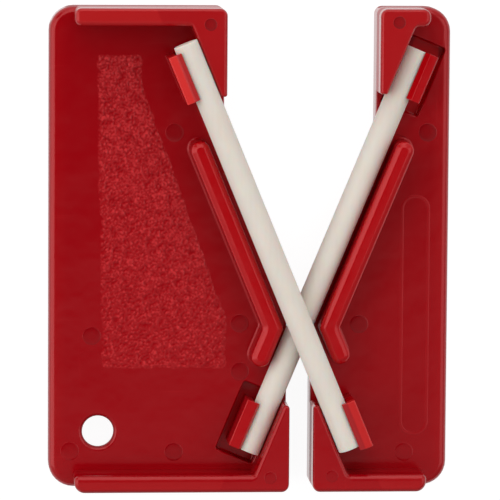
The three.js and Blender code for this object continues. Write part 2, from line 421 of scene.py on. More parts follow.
def turned(section: np.ndarray, centre: Place, sides: int) -> Form:
    """Solid of revolution about a vertical axis.

    Ring m is a circle of the section's radius m at its height m.

    Args:
        section: Array of radii and heights from low to high.
        centre: Axis in plan.
        sides: Points on each circle.

    Returns:
        The closed form.
    """
    angle = full_turn(sides)
    circle = np.stack([np.cos(angle), np.sin(angle)], axis=-1)
    plan = np.array(centre) + section[:, :1, None] * circle
    return Form.stack(lifted(plan, section[:, 1]))


def new_object(name: str, data: bpy.types.ID) -> bpy.types.Object:
    """Puts a mesh, a camera or a lamp into the scene, at the origin.

    Args:
        name: Name of the object.
        data: What the object shows.

    Returns:
        The new object.
    """
    made = bpy.data.objects.new(name, data)
    bpy.context.scene.collection.objects.link(made)
    return made


def smooth_object(name: str, mesh: bpy.types.Mesh) -> bpy.types.Object:
    """Makes a mesh smooth between its sharp edges and puts it into the scene.

    Args:
        name: Name of the object.
        mesh: Finished mesh.

    Returns:
        The new object, with normals that follow the larger faces.
    """
    mesh.polygons.foreach_set("use_smooth", np.ones(len(mesh.polygons), dtype=bool))
    mesh.set_sharp_from_angle(angle=SHARP_ANGLE)
    mesh.update()
    made = new_object(name, mesh)
    made.modifiers.new("even_normals", "WEIGHTED_NORMAL").keep_sharp = True
    return made


def stand(made: bpy.types.Object, right: np.ndarray, up: np.ndarray, place: Triple) -> None:
    """Places a camera or a lamp so that it looks against its own back.

    Args:
        made: Camera or lamp.
        right: Direction to its right.
        up: Direction up in its view.
        place: Where it is, in metres.
    """
    columns = np.stack([right, up, np.cross(right, up), place], axis=1)
    made.matrix_world = Matrix([*columns.tolist(), [0.0, 0.0, 0.0, 1.0]])


def joined(
    name: str, body: Form, steps: list[tuple[Joining, Form]], layout: Layout
) -> bpy.types.Mesh:
    """Adds forms to a body and cuts forms from it, in order.

    Args:
        name: Name of the new mesh.
        body: Form to start from.
        steps: Forms to join, each with how.
        layout: Layout that holds the crossing.

    Returns:
        One closed mesh.
    """
    base = new_object(name, body.mesh(name, layout))
    tools = []
    for number, (how, form) in enumerate(steps):
        tool_name = f"{name}_tool_{number}"
        tool = new_object(tool_name, form.mesh(tool_name, layout))
        step = base.modifiers.new(tool_name, "BOOLEAN")
        step.operation = how.value
        step.solver = "MANIFOLD"
        step.object = tool
        tools.append(tool)
    bpy.context.view_layer.update()
    shown = base.evaluated_get(bpy.context.evaluated_depsgraph_get())
    made = bpy.data.meshes.new_from_object(shown)
    for old in [base, *tools]:
        old_mesh = old.data
        bpy.data.objects.remove(old)
        bpy.data.meshes.remove(old_mesh)
    made.name = name
    return made


def mirror_in_x(mesh: bpy.types.Mesh, centre: float) -> None:
    """Mirrors a mesh left to right about a centre line and turns its faces outwards again.

    Args:
        mesh: Mesh to mirror.
        centre: Where the centre line is, as x in metres.
    """
    points = np.empty(len(mesh.vertices) * 3, dtype=np.float32)
    mesh.vertices.foreach_get("co", points)
    points[0::3] = 2 * centre - points[0::3]
    mesh.vertices.foreach_set("co", points)
    mesh.flip_normals()


@dataclass(frozen=True)
class Band:
    """Stretch over which a signal climbs from 0 to 1."""

    start: float
    end: float

    @classmethod
    def mm(cls, start: float, end: float) -> "Band":
        """Stretch given in millimetres and kept in metres."""
        return cls(start * MM, end * MM)


@dataclass(frozen=True)
class Pattern:
    """Noise: its scale to the metre, its detail, and how it is stretched and turned in plan."""

    scale: float
    detail: float = 2.0
    stretch: Triple | None = None
    turn: float = 0.0


class Signal:
    """Shader socket that takes part in Python arithmetic: each operation adds a Math node."""

    def __init__(self, graph: "ShaderGraph", socket: bpy.types.NodeSocket) -> None:
        """Keeps the socket and the graph it is in."""
        self.graph = graph
        self.socket = socket

    def _math(self, operation: str, first: Any, second: Any) -> "Signal":
        """Math node on two values."""
        return self.graph.node("ShaderNodeMath", {"operation": operation}, {0: first, 1: second})

    def __add__(self, other: Any) -> "Signal":
        """Sum."""
        return self._math("ADD", self, other)

    def __sub__(self, other: Any) -> "Signal":
        """Difference."""
        return self._math("SUBTRACT", self, other)

    def __rsub__(self, other: Any) -> "Signal":
        """Difference from a number."""
        return self._math("SUBTRACT", other, self)

    def __mul__(self, other: Any) -> "Signal":
        """Product."""
        return self._math("MULTIPLY", self, other)

    def __and__(self, other: Any) -> "Signal":
        """Lower of two values."""
        return self._math("MINIMUM", self, other)

    def __or__(self, other: Any) -> "Signal":
        """Higher of two values."""
        return self._math("MAXIMUM", self, other)

    # With a number first, these give the same.
    __radd__ = __add__
    __rmul__ = __mul__
    __rand__ = __and__
    __ror__ = __or__

    def size(self) -> "Signal":
        """Value without its sign."""
        return self | self * -1

    def root(self) -> "Signal":
        """Square root."""
        return self.graph.node("ShaderNodeMath", {"operation": "SQRT"}, {0: self})

    def output(self, name: str) -> "Signal":
        """Another output of the same node."""
        return Signal(self.graph, self.socket.node.outputs[name])


class ShaderGraph:
    """Node tree of a material or the world, built by expressions."""

    def __init__(self, tree: bpy.types.NodeTree) -> None:
        """Takes over a node tree and empties it."""
        self.tree = tree
        self.tree.nodes.clear()

    def node(
        self,
        kind: str,
        settings: dict[str, Any] | None = None,
        inputs: dict[str | int, Any] | None = None,
        output: str | int = 0,
    ) -> Signal:
        """Adds a node.

        Args:
            kind: Blender's type name of the node.
            settings: Properties of the node, which are set first.
            inputs: Value or link of each socket, by name or number.
            output: Output that the signal reads, by name or number.

        Returns:
            Signal on the chosen output.
        """
        made = self.tree.nodes.new(kind)
        for name, value in (settings or {}).items():
            setattr(made, name, value)
        for name, value in (inputs or {}).items():
            if isinstance(value, Signal):
                self.tree.links.new(value.socket, made.inputs[name])
            else:
                made.inputs[name].default_value = value
        return Signal(self, made.outputs[output] if len(made.outputs) else made.inputs[0])

    def coordinate(self, name: str) -> Signal:
        """Place on a piece by Object, or direction in the world by Generated."""
        return self.node("ShaderNodeTexCoord", output=name)

    def axes(self, vector: Signal) -> tuple[Signal, Signal, Signal]:
        """X, Y and Z of a vector."""
        x = self.node("ShaderNodeSeparateXYZ", None, {"Vector": vector}, "X")
        return x, x.output("Y"), x.output("Z")

    def point_value(self, value: PointValue) -> Signal:
        """Value that the mesh keeps at its points."""
        return self.node("ShaderNodeAttribute", {"attribute_name": value.value}, output="Fac")

    def blend(self, factor: Any, first: Any, second: Any) -> Signal:
        """Colour between two colours, by the numbers of the Mix node's colour sockets."""
        inputs = {0: factor, 6: first, 7: second}
        return self.node("ShaderNodeMix", {"data_type": "RGBA"}, inputs, 2)

    def ease(self, value: Signal, band: Band) -> Signal:
        """Smooth step from 0 at a band's start to 1 at its end."""
        inputs = {"Value": value, "From Min": band.start, "From Max": band.end}
        return self.node("ShaderNodeMapRange", {"interpolation_type": "SMOOTHSTEP"}, inputs)

    def fall(self, value: Signal, band: Band) -> Signal:
        """Smooth step from 1 at a band's start to 0 at its end."""
        return 1 - self.ease(value, band)

    def noise(self, vector: Signal, pattern: Pattern) -> Signal:
        """Noise between 0 and 1.

        Args:
            vector: Place that it is read at.
            pattern: Scale, detail, stretch and turn.

        Returns:
            Signal on the noise.
        """
        if pattern.stretch:
            turn = (0.0, 0.0, pattern.turn)
            mapping = {"Vector": vector, "Rotation": turn, "Scale": pattern.stretch}
            vector = self.node("ShaderNodeMapping", {"vector_type": "POINT"}, mapping)
        inputs = {"Vector": vector, "Scale": pattern.scale, "Detail": pattern.detail}
        return self.node("ShaderNodeTexNoise", None, inputs, "Fac")

    def spread(self, vector: Signal, pattern: Pattern) -> Signal:
        """Noise about 0, between -0.5 and 0.5."""
        return self.noise(vector, pattern) - 0.5

    def bump(self, heights: Signal, strength: float) -> Signal:
        """Normal of a surface with fine heights in millimetres."""
        inputs = {"Strength": strength, "Distance": MM, "Height": heights}
        return self.node("ShaderNodeBump", None, inputs)

    def direct_rays(self) -> Signal:
        """1 for rays of the camera, in gloss and through glass, 0 for light between surfaces."""
        rays = self.node("ShaderNodeLightPath", output="Is Camera Ray")
        return rays | rays.output("Is Glossy Ray") | rays.output("Is Transmission Ray")

    def surface(self, inputs: dict[str, Any]) -> None:
        """Principled shader with the given sockets as the material's surface."""
        shader = self.node("ShaderNodeBsdfPrincipled", None, inputs)
        self.node("ShaderNodeOutputMaterial", None, {"Surface": shader})


def shaded_material(name: str) -> tuple[bpy.types.Material, ShaderGraph]:
    """Makes a material with an empty node graph.

    Args:
        name: Name of the material.

    Returns:
        The material and its graph.
    """
    made = bpy.data.materials.new(name)
    made.use_nodes = True
    return made, ShaderGraph(made.node_tree)


@dataclass(frozen=True)
class HalfPlace:
    """Where a half lies, for its finish.

    Low and high are the corners in plan of its outer sides, in metres. The hooks meet the rods on
    the rod side, 1 for the right and -1 for the left. The bore is the place in plan and the radius
    of a hole through the floor, in metres, or None.
    """

    low: Place
    high: Place
    layout: Layout
    rod_side: float
    bore: Triple | None


@dataclass(frozen=True)
class Regions:
    """Signals from 0 to 1 that say on which part of a half a point is, and how far up in plan."""

    climb: Signal
    # Rim, raised, hooks and the rib mask say where glow is painted, sunk where painted light fills
    # the pockets, and sides where painted shade falls.
    rim: Signal
    sides: Signal
    raised: Signal
    sunk: Signal
    hooks: Signal
    tops: Signal
    painted_rib_glow: Signal
    low_parts: Signal
    low_sides: Signal


@dataclass(frozen=True)
class MouldedPlastic:
    """Glossy red moulded plastic: a darker red floor, and painted glow that makes raised parts
    brighter.
    """

    plain_red: Colour = linear(158, 0, 12)
    # Painted glow: raised parts are painted brighter, more so towards the top, as light shining
    # through and falling from above would make them.
    painted_glow_red: Colour = linear(172, 5, 14)
    # Painted glow on the hook tops, as light shining through them would give.
    painted_hook_glow: Colour = linear(226, 49, 46)
    # Painted light in the rod pockets, brighter towards the top, where the recess would be in
    # shade.
    painted_pocket_light_low: Colour = linear(168, 0, 12)
    painted_pocket_light_high: Colour = linear(205, 5, 16)
    # Dark red of the pin marks, and painted shade along the outer sides and in the pad's hollows.
    dark_marks_and_shade: Colour = linear(112, 0, 8)
    # Painted glow on the ribs.
    painted_rib_glow: Colour = linear(179, 1, 11)
    # Pale red of wear from handling and of the grained pad, which also carries painted sheen and
    # glints.
    worn_and_sheen: Colour = linear(221, 46, 51)
    # Distances from the outer sides, from the foot, from the hole and across from a rod, for
    # painted glow, painted shade and painted pocket light.
    rim_glow_band: Band = Band.mm(0.8, 4.0)
    side_shade_band: Band = Band.mm(0.15, 0.5)
    foot_shade_band: Band = Band.mm(0.15, 0.7)
    bore_shade_band: Band = Band.mm(0.1, 0.4)
    pocket_inset: Band = Band.mm(1.9, 2.3)
    pocket_side: Band = Band.mm(0.2, 0.9)
    lip_band: Band = Band.mm(-2.8, -2.4)
    rib_glow_inset: Band = Band.mm(3.5, 4.2)
    # Heights of the painted shade, painted pocket light, painted glow and the low parts.
    side_shade_rise: Band = Band.mm(1.0, 7.5)
    pocket_rise: Band = Band.mm(3.6, 5.0)
    low_rise: Band = Band.mm(5.3, 5.8)
    low_end: Band = Band.mm(10.1, 10.6)
    glow_rise: Band = Band.mm(5.4, 11.6)
    rib_glow_rise: Band = Band.mm(9.6, 10.4)
    top_rise: Band = Band.mm(12.45, 12.75)
    hook_glow_rise: Band = Band.mm(13.0, 14.8)
    # How strongly each part and mark shows in the colour, painted glow and painted shade included.
    glow_at_foot: float = 0.1
    hook_glow_at_foot: float = 0.55
    lip_share: float = 0.8
    rim_glow_share: float = 0.5
    side_shade_share: float = 0.5
    cloud_share: float = 0.3
    grain_sheen_share: float = 0.42
    mark_share: float = 0.10
    # Clouds and flow of the melt, marks of handling and the fine skin.
    clouds: Pattern = Pattern(90, 3.0)
    flow: Pattern = Pattern(420, stretch=(1.0, 0.25, 1.0))
    scuffs: Pattern = Pattern(900, stretch=(1.0, 0.05, 1.0), turn=0.6)
    scratches: Pattern = Pattern(1300, 1.0, (0.04, 1.0, 1.0), 0.35)
    skin: Pattern = Pattern(5200)
    scuff_band: Band = Band(0.70, 0.78)
    scuff_share: float = 0.5
    scratch_band: Band = Band(0.72, 0.78)
    scratch_share: float = 0.6
    # Roughness, and what each part and mark adds to it.
    roughness: float = 0.16
    flow_roughness: float = 0.04
    mark_roughness: float = 0.05
    grain_roughness: float = 0.19
    raised_roughness: float = 0.07
    low_roughness: float = 0.15
    side_roughness: float = 0.65
    # Fine heights in millimetres.
    skin_height: float = 0.004
    cloud_height: float = 0.35
    mark_depth: float = 0.004
    bump_strength: float = 0.5
    ior: float = 1.5
    specular_level: float = 0.9
    specular_tint: Colour = (1.0, 0.36, 0.36, 1.0)

    def regions(self, graph: ShaderGraph, place: Signal, half: HalfPlace) -> Regions:
        """Tells the parts of a half by height and by distance from its sides and its rods.

        Args:
            graph: Graph of the material.
            place: Place on the half.
            half: Where the half lies.

        Returns:
            A signal for each part.
        """
        x, y, z = graph.axes(place)
        inset = (x - half.low[0]) & (half.high[0] - x) & (y - half.low[1]) & (half.high[1] - y)
        crossing_x, crossing_y = half.layout.crossing
        beside = (x - crossing_x * MM) * (half.rod_side * math.cos(half.layout.lean))
        across = beside + (y - crossing_y * MM).size() * math.sin(half.layout.lean)
        climb = graph.ease(y, Band(half.low[1], half.high[1]))
        # Painted shade: low on the outer sides, at the foot's edge and round the hole's edge, where
        # shade and dark reflections fall.
        sides = graph.fall(inset, self.side_shade_band) * graph.fall(z, self.side_shade_rise)
        sides = sides | graph.fall(y - half.low[1], self.foot_shade_band)
        if half.bore:
            off_x, off_y = x - half.bore[0], y - half.bore[1]
            from_edge = (off_x * off_x + off_y * off_y).root() - half.bore[2]
            sides = sides | graph.fall(from_edge, self.bore_shade_band)
        # Painted glow on raised parts grows from the foot towards the top.
        glow_climb = self.glow_at_foot + (1 - self.glow_at_foot) * climb
        # Pockets round the rear hooks, which get painted light.
        pockets = graph.ease(inset, self.pocket_inset) * graph.fall(across, self.pocket_side)
        # Lips of the hooks, which get less of the painted hook glow.
        lips = graph.ease(across, self.lip_band)
        tops = graph.ease(z, self.top_rise)
        ribs = graph.ease(z, self.rib_glow_rise)
        return Regions(
            climb=climb,
            # Painted glow near the outer sides of the floor.
            rim=graph.fall(inset, self.rim_glow_band),
            sides=sides,
            raised=graph.ease(z, self.glow_rise) * glow_climb,
            sunk=graph.fall(z, self.pocket_rise) * pockets,
            hooks=graph.ease(z, self.hook_glow_rise) * (1 - lips * self.lip_share),
            tops=tops,
            # Painted glow on the ribs, below the tops.
            painted_rib_glow=ribs * (1 - tops) * graph.ease(inset, self.rib_glow_inset),
            low_parts=graph.ease(z, self.low_rise) * graph.fall(z, self.low_end),
            low_sides=1 - ribs,
        )

    def handling(self, graph: ShaderGraph, place: Signal) -> Signal:
        """Faint scuffs and fine scratches of handling.

        Args:
            graph: Graph of the material.
            place: Place on the half.

        Returns:
            Signal from 0 to 1.
        """
        scuffs = graph.ease(graph.noise(place, self.scuffs), self.scuff_band)
        scratches = graph.ease(graph.noise(place, self.scratches), self.scratch_band)
        return scuffs * self.scuff_share | scratches * self.scratch_share

    def colour(
        self, graph: ShaderGraph, part: Regions, clouds: Signal, grain: Signal, marks: Signal
    ) -> Signal:
        """Red with painted glow, light and shade, darker on pin marks, paler with wear and sheen.

        Args:
            graph: Graph of the material.
            part: Parts of the half.
            clouds: Clouds of the melt, about 0.
            grain: Grain of the thumb pad, with painted sheen and glints.
            marks: Marks of handling.

        Returns:
            The colour.
        """
        # Painted glow on raised parts and near the outer sides, with random clouds of the melt.
        thickness = (part.raised | part.rim * self.rim_glow_share) + clouds * self.cloud_share
        # Painted glow on the hook tops, brighter towards the top.
        hooks = part.hooks * (self.hook_glow_at_foot + (1 - self.hook_glow_at_foot) * part.climb)
        # Painted light in the pockets, brighter towards the top.
        painted_pocket_light = graph.blend(part.climb, self.painted_pocket_light_low, self.painted_pocket_light_high)
        # Dark pin marks, with painted shade in the pad's hollows and along the outer sides, the
        # foot and the hole's edge.
        pressed = graph.point_value(PointValue.MARKS_AND_SHADE) | part.sides * self.side_shade_share
        # Pale wear from handling, and the grained pad with painted sheen and glints.
        worn_and_sheen = grain * self.grain_sheen_share | marks * self.mark_share
        red = graph.blend(thickness, self.plain_red, self.painted_glow_red)
        # Painted glow on the ribs.
        red = graph.blend(part.painted_rib_glow, red, self.painted_rib_glow)
        red = graph.blend(hooks, red, self.painted_hook_glow)
        red = graph.blend(part.sunk, red, painted_pocket_light)
        red = graph.blend(pressed, red, self.dark_marks_and_shade)
        return graph.blend(worn_and_sheen, red, self.worn_and_sheen)

    def dullness(
        self, graph: ShaderGraph, place: Signal, part: Regions, grain: Signal, marks: Signal
    ) -> Signal:
        """Roughness: glossy, a little duller on what stands low, on marks and on the pad.

        Args:
            graph: Graph of the material.
            place: Place on the half.
            part: Parts of the half.
            grain: Grain of the thumb pad, with painted sheen and glints.
            marks: Marks of handling.

        Returns:
            The roughness.
        """
        rough = self.roughness + graph.spread(place, self.flow) * self.flow_roughness
        rough = rough + marks * self.mark_roughness + (grain & 1.0) * self.grain_roughness
        low_share = part.low_sides * self.low_roughness + self.raised_roughness
        rough = rough + part.low_parts * low_share
        rough = rough + part.tops * part.climb * self.raised_roughness
        return rough | part.sides * self.side_roughness

    def material(self, name: str, half: HalfPlace) -> bpy.types.Material:
        """Makes the finish for one half.

        Args:
            name: Name of the material.
            half: Where the half lies.

        Returns:
            The material.
        """
        made, graph = shaded_material(name)
        place = graph.coordinate("Object")
        part = self.regions(graph, place, half)
        clouds = graph.spread(place, self.clouds)
        grain = graph.point_value(PointValue.GRAIN_AND_SHEEN)
        marks = self.handling(graph, place)
        heights = graph.spread(place, self.skin) * self.skin_height
        heights = heights + clouds * self.cloud_height - marks * self.mark_depth
        graph.surface({
            "Base Color": self.colour(graph, part, clouds, grain, marks),
            "Roughness": self.dullness(graph, place, part, grain, marks),
            "Normal": graph.bump(heights, self.bump_strength),
            "IOR": self.ior,
            "Specular IOR Level": self.specular_level,
            "Specular Tint": self.specular_tint,
        })
        return made


@dataclass(frozen=True)
class UnglazedCeramic:
    """Fired off-white ceramic, fine and matt, ground along its length."""

    pale: Colour = linear(236, 231, 222)
    warm: Colour = linear(226, 216, 204)
    clouds: Pattern = Pattern(140, 3.0)
    specks: Pattern = Pattern(2600)
    grinding: Pattern = Pattern(1500, 3.0, (1.0, 0.06, 1.0))
    cloud_share: float = 0.7
    grinding_share: float = 0.5
    roughness: float = 0.62
    speck_roughness: float = 0.12
    # Fine heights in millimetres.
    speck_height: float = 0.02
    grinding_height: float = 0.015
    bump_strength: float = 0.5
    ior: float = 1.5
    # Light that soaks in, reddest deepest, with its reach in metres.
    soak: float = 0.7
    soak_colours: Triple = (1.6, 0.7, 0.5)
    soak_reach: float = 1.0 * MM

    def material(self, name: str, turn: float) -> bpy.types.Material:
        """Makes the finish for one rod.

        Args:
            name: Name of the material.
            turn: Turn about Z that lays the rod along Y, in radians.

        Returns:
            The material.
        """
        made, graph = shaded_material(name)
        place = graph.coordinate("Object")
        clouds = graph.noise(place, self.clouds)
        specks = graph.spread(place, self.specks)
        grinding = graph.spread(place, replace(self.grinding, turn=turn))
        warmth = clouds * self.cloud_share + grinding * self.grinding_share
        heights = specks * self.speck_height + grinding * self.grinding_height
        graph.surface({
            "Base Color": graph.blend(warmth, self.pale, self.warm),
            "Roughness": self.roughness + specks * self.speck_roughness,
            "Normal": graph.bump(heights, self.bump_strength),
            "IOR": self.ior,
            "Diffuse Roughness": 1.0,
            "Subsurface Weight": self.soak,
            "Subsurface Radius": self.soak_colours,
            "Subsurface Scale": self.soak_reach,
        })
        return made


@dataclass
class Relief:
    """Low form on a surface, with its grained tone, painted sheen and glints, and its dark marks
    and painted shade, at every point.
    """

    form: Form
    grain: np.ndarray
    pressed: np.ndarray

    def mesh(self, name: str, layout: Layout) -> bpy.types.Mesh:
        """Makes the form's mesh with its two values as attributes.

        Args:
            name: Name of the mesh.
            layout: Layout that holds the crossing.

        Returns:
            The new mesh.
        """
        made = self.form.mesh(name, layout)
        values = {PointValue.GRAIN_AND_SHEEN: self.grain, PointValue.MARKS_AND_SHADE: self.pressed}
        for value, amounts in values.items():
            attribute = made.attributes.new(value.value, "FLOAT", "POINT")
            attribute.data.foreach_set("value", amounts.astype(np.float32))
        return made


@dataclass(frozen=True)
class RodSeats:
    """How the rods sit in a half, and where its hooks hold them."""

    layout: Layout
    rear: Seat
    clearance: float = 0.2
    overhang: float = 0.2
    hook_length: float = 9.65
    hook_thickness: float = 1.55

    @property
    def front(self) -> Seat:
        """Seat of the front rod."""
        return Seat(-self.rear.value)

    @property
    def face(self) -> float:
        """Distance from a rod's axis to its hook's stem."""
        return ROD_RADIUS + self.clearance

    @property
    def hook_back(self) -> float:
        """Distance from a rod's axis to the back of its hook."""
        return self.face + self.hook_thickness

    def hook_span(self, seat: Seat) -> Span:
        """Where a hook starts and ends along its rod, going down.

        Args:
            seat: Seat the hook belongs to.

        Returns:
            The two distances from the crossing.
        """
        if seat is Seat.UPPER:
            start = self.overhang - ROD_ABOVE
            return start, start + self.hook_length
        end = ROD_BELOW - self.overhang
        return end - self.hook_length, end

    def inner_end(self, seat: Seat) -> float:
        """End of a hook that is nearer the crossing, along its rod."""
        return self.hook_span(seat)[1 if seat is Seat.UPPER else 0]

    def box(self, seat: Seat, span: Span, sides: Span, corner: float) -> Outline:
        """Rectangle in plan that lies along a rod.

        Args:
            seat: Seat whose rod it lies along.
            span: Where it starts and ends along the rod.
            sides: Where its two long sides are across the rod.
            corner: Rounding of its corners.

        Returns:
            The outline.
        """
        (start, end), (near, far) = span, sides
        places = [(start, near), (end, near), (end, far), (start, far)]
        points = [tuple(self.layout.point(seat, *place)) for place in places]
        return Outline([Corner(at, corner) for at in points], steps=4)


@dataclass(frozen=True)
class WedgeWall:
    """End wall with a wedge block that a rod bears on.

    The last sizes are shares of the rounding, for each edge of the outline.
    """

    thickness: float = 3.4
    foot: float = 1.0
    rounding: float = 1.0
    gap: float = 0.08
    fillet: float = 1.0
    side_corner: float = 1.5
    tip_lead: float = 1.2
    tip_width: float = 1.21
    tip_round: float = 0.5
    nose: float = 1.15
    end: float = 1.15
    tip_edge: float = 0.58
    side_edge: float = 0.75
    outer_edge: float = 0.6
    face_edge: float = 0.5
    wall_edge: float = 1.0

    def tip(self, seats: RodSeats, seat: Seat) -> np.ndarray:
        """Tip of the block on the face that the rod bears on, in plan."""
        along = seats.inner_end(seat) + seat.value * self.tip_lead
        return seats.layout.point(seat, along, ROD_RADIUS + self.gap)

    def inner_side(self, seats: RodSeats, seat: Seat) -> float:
        """Side of the block towards the centre line, as x in plan."""
        return self.tip(seats, seat)[0] + self.tip_width

    def form(self, seats: RodSeats, seat: Seat, outer: float, end: float, top: float) -> Form:
        """Wall and block over one outline, whose edges are rounded by their shares.

        Args:
            seats: How the rods sit.
            seat: Seat whose block it is.
            outer: Outer side of the wall, as y in plan.
            end: End of the wall away from the rod, as x in plan.
            top: Height of the wall.

        Returns:
            The closed form.
        """
        inner = outer - seat.value * self.thickness
        side = self.inner_side(seats, seat)
        tip = self.tip(seats, seat)
        wall_line = (np.array([0.0, inner]), np.array([1.0, 0.0]))
        inside = lines_meet(tip, seats.layout.along(seat), *wall_line)
        corners = [
            (tip, self.tip_round),
            ((side, tip[1]), self.tip_round),
            ((side, outer), self.side_corner),
            ((end, outer), self.end),
            ((end, inner), self.nose),
            (inside, self.fillet),
        ]
        shares = [self.tip_edge, self.side_edge, self.outer_edge, 1.0, self.wall_edge]
        if seat is Seat.LOWER:
            # The order turns round, so each edge now leaves the corner at its other end.
            corners.reverse()
            shares.reverse()
        shares.append(self.face_edge)
        outline = Outline([
            Corner(tuple(at), size, share) for (at, size), share in zip(corners, shares)
        ])
        return outline.raised(side_section(self.foot, top, self.rounding))


@dataclass(frozen=True)
class SnapHook:
    """Springy hook that snaps over a rod: a filleted stem and a lip with a sloped lead-in.

    The trim moves its two ends along the rod.
    """

    overhang: float = 0.88
    rise: float = 3.1
    fillet: float = 0.2
    foot_round: float = 0.18
    bend_round: float = 0.3
    ease: float = 0.14
    lip_lead_in: float = 0.8
    lip_nose: float = 0.25
    lip_root: float = 1.2
    lip_setback: float = 0.1
    lip_round: float = 1.1
    nose_round: float = 0.12
    trim: Span = (0.0, 0.0)

    def form(self, seats: RodSeats, seat: Seat, axis: float, root: float) -> Form:
        """Section of the hook carried along its rod.

        Args:
            seats: How the rods sit.
            seat: Seat the hook belongs to.
            axis: Height of the rod's axis.
            root: Height of the surface the stem grows from.

        Returns:
            The closed form.
        """
        stem, back = -seats.face, -seats.hook_back
        inner_foot, outer_foot = stem + self.fillet, back - self.fillet
        bottom, sunk = root - ROOT_DEPTH, root - HAIR
        lip = self.overhang - ROD_RADIUS
        top = axis + self.rise
        nose = top - self.lip_lead_in
        section = Outline([
            Corner((outer_foot, bottom)),
            Corner((inner_foot, bottom)),
            Corner((inner_foot, sunk)),
            Corner((stem, sunk), self.foot_round),
            Corner((stem, axis + self.lip_root), self.bend_round),
            Corner((lip, nose - self.lip_nose), self.nose_round),
            Corner((lip, nose), self.nose_round),
            Corner((-ROD_RADIUS - self.lip_setback, top), self.lip_round),
            Corner((back, top), self.bend_round),
            Corner((back, sunk), self.foot_round),
            Corner((outer_foot, sunk)),
        ], steps=5)
        start, end = seats.hook_span(seat)
        span = (start + self.trim[0], end + self.trim[1])
        return section.carried(seats.layout, seat, span, self.ease)


@dataclass(frozen=True)
class Ledge:
    """Ledge on a block that carries the front rod from below."""

    reach: float = 3.5
    inset: float = 1.2
    corner: float = 0.3
    edge: float = 0.2
    fillet: float = 0.35

    def form(self, seats: RodSeats, floor: float) -> Form:
        """Low bar along the front rod, let into the block.

        Args:
            seats: How the rods sit.
            floor: Height of the floor's front.

        Returns:
            The closed form.
        """
        start, end = seats.hook_span(seats.front)
        span = (start + self.inset, end - self.inset)
        sides = (seats.face - self.reach, seats.face + ROOT_DEPTH)
        top = seats.layout.front_axis - seats.face
        section = side_section(floor - ROOT_DEPTH, top, self.edge, self.fillet, floor)
        return seats.box(seats.front, span, sides, self.corner).raised(section)


@dataclass(frozen=True)
class RodPocket:
    """Pocket in the floor that gives the rear rod's hook its length, and the boss behind it."""

    depth: float = 2.6
    margin: float = 2.05
    extra_end: float = 0.0
    slot: float = 1.37
    lap: float = 0.4
    corner: float = 0.5
    edge: float = 0.35
    rim: float = 0.35
    rim_points: int = 6
    boss_skin: float = 0.9
    boss_near_share: float = 0.6
    boss_base: float = 1.2
    boss_edge: float = 0.4

    def plan(self, seats: RodSeats, skin: float) -> Outline:
        """Plan of the pocket, or of the boss that stands a skin outside it.

        Args:
            seats: How the rods sit.
            skin: How far it stands outside the pocket, or 0 for the pocket.

        Returns:
            The outline.
        """
        start, end = seats.hook_span(seats.rear)
        span = (start - self.margin - skin, end + self.margin + self.extra_end + skin)
        near = seats.face - self.lap + self.boss_near_share * skin
        sides = (-seats.hook_back - self.slot - skin, near)
        return seats.box(seats.rear, span, sides, self.corner + skin)

    def boss(self, seats: RodSeats, bottom: float, floor_back: float) -> Form:
        """Boss behind the floor that closes the pocket from below.

        Args:
            seats: How the rods sit.
            bottom: Height of the pocket's bottom.
            floor_back: Height of the floor's back.

        Returns:
            The closed form.
        """
        low, high = bottom - self.boss_base, floor_back + ROOT_DEPTH
        section = side_section(low, high, HAIR, back=self.boss_edge)
        return self.plan(seats, self.boss_skin).raised(section)

    def hollow(self, seats: RodSeats, floor: float, top: float) -> Form:
        """Space of the pocket, whose front rim is rounded by rim * (1 - cos t) outwards.

        Args:
            seats: How the rods sit.
            floor: Height of the floor's front.
            top: Height up to which it is cut.

        Returns:
            The closed form to cut.
        """
        turn = quarter_turn(self.rim_points)
        outward = -self.rim * (1 - np.cos(turn))
        upward = floor - self.rim * (1 - np.sin(turn))
        side = side_section(floor - self.depth, top, HAIR, back=self.edge)
        below = side[side[:, 1] < floor - self.rim]
        above = np.array([[-self.rim, top]])
        section = np.concatenate([below, np.stack([outward, upward], axis=1), above])
        return self.plan(seats, 0.0).raised(section)


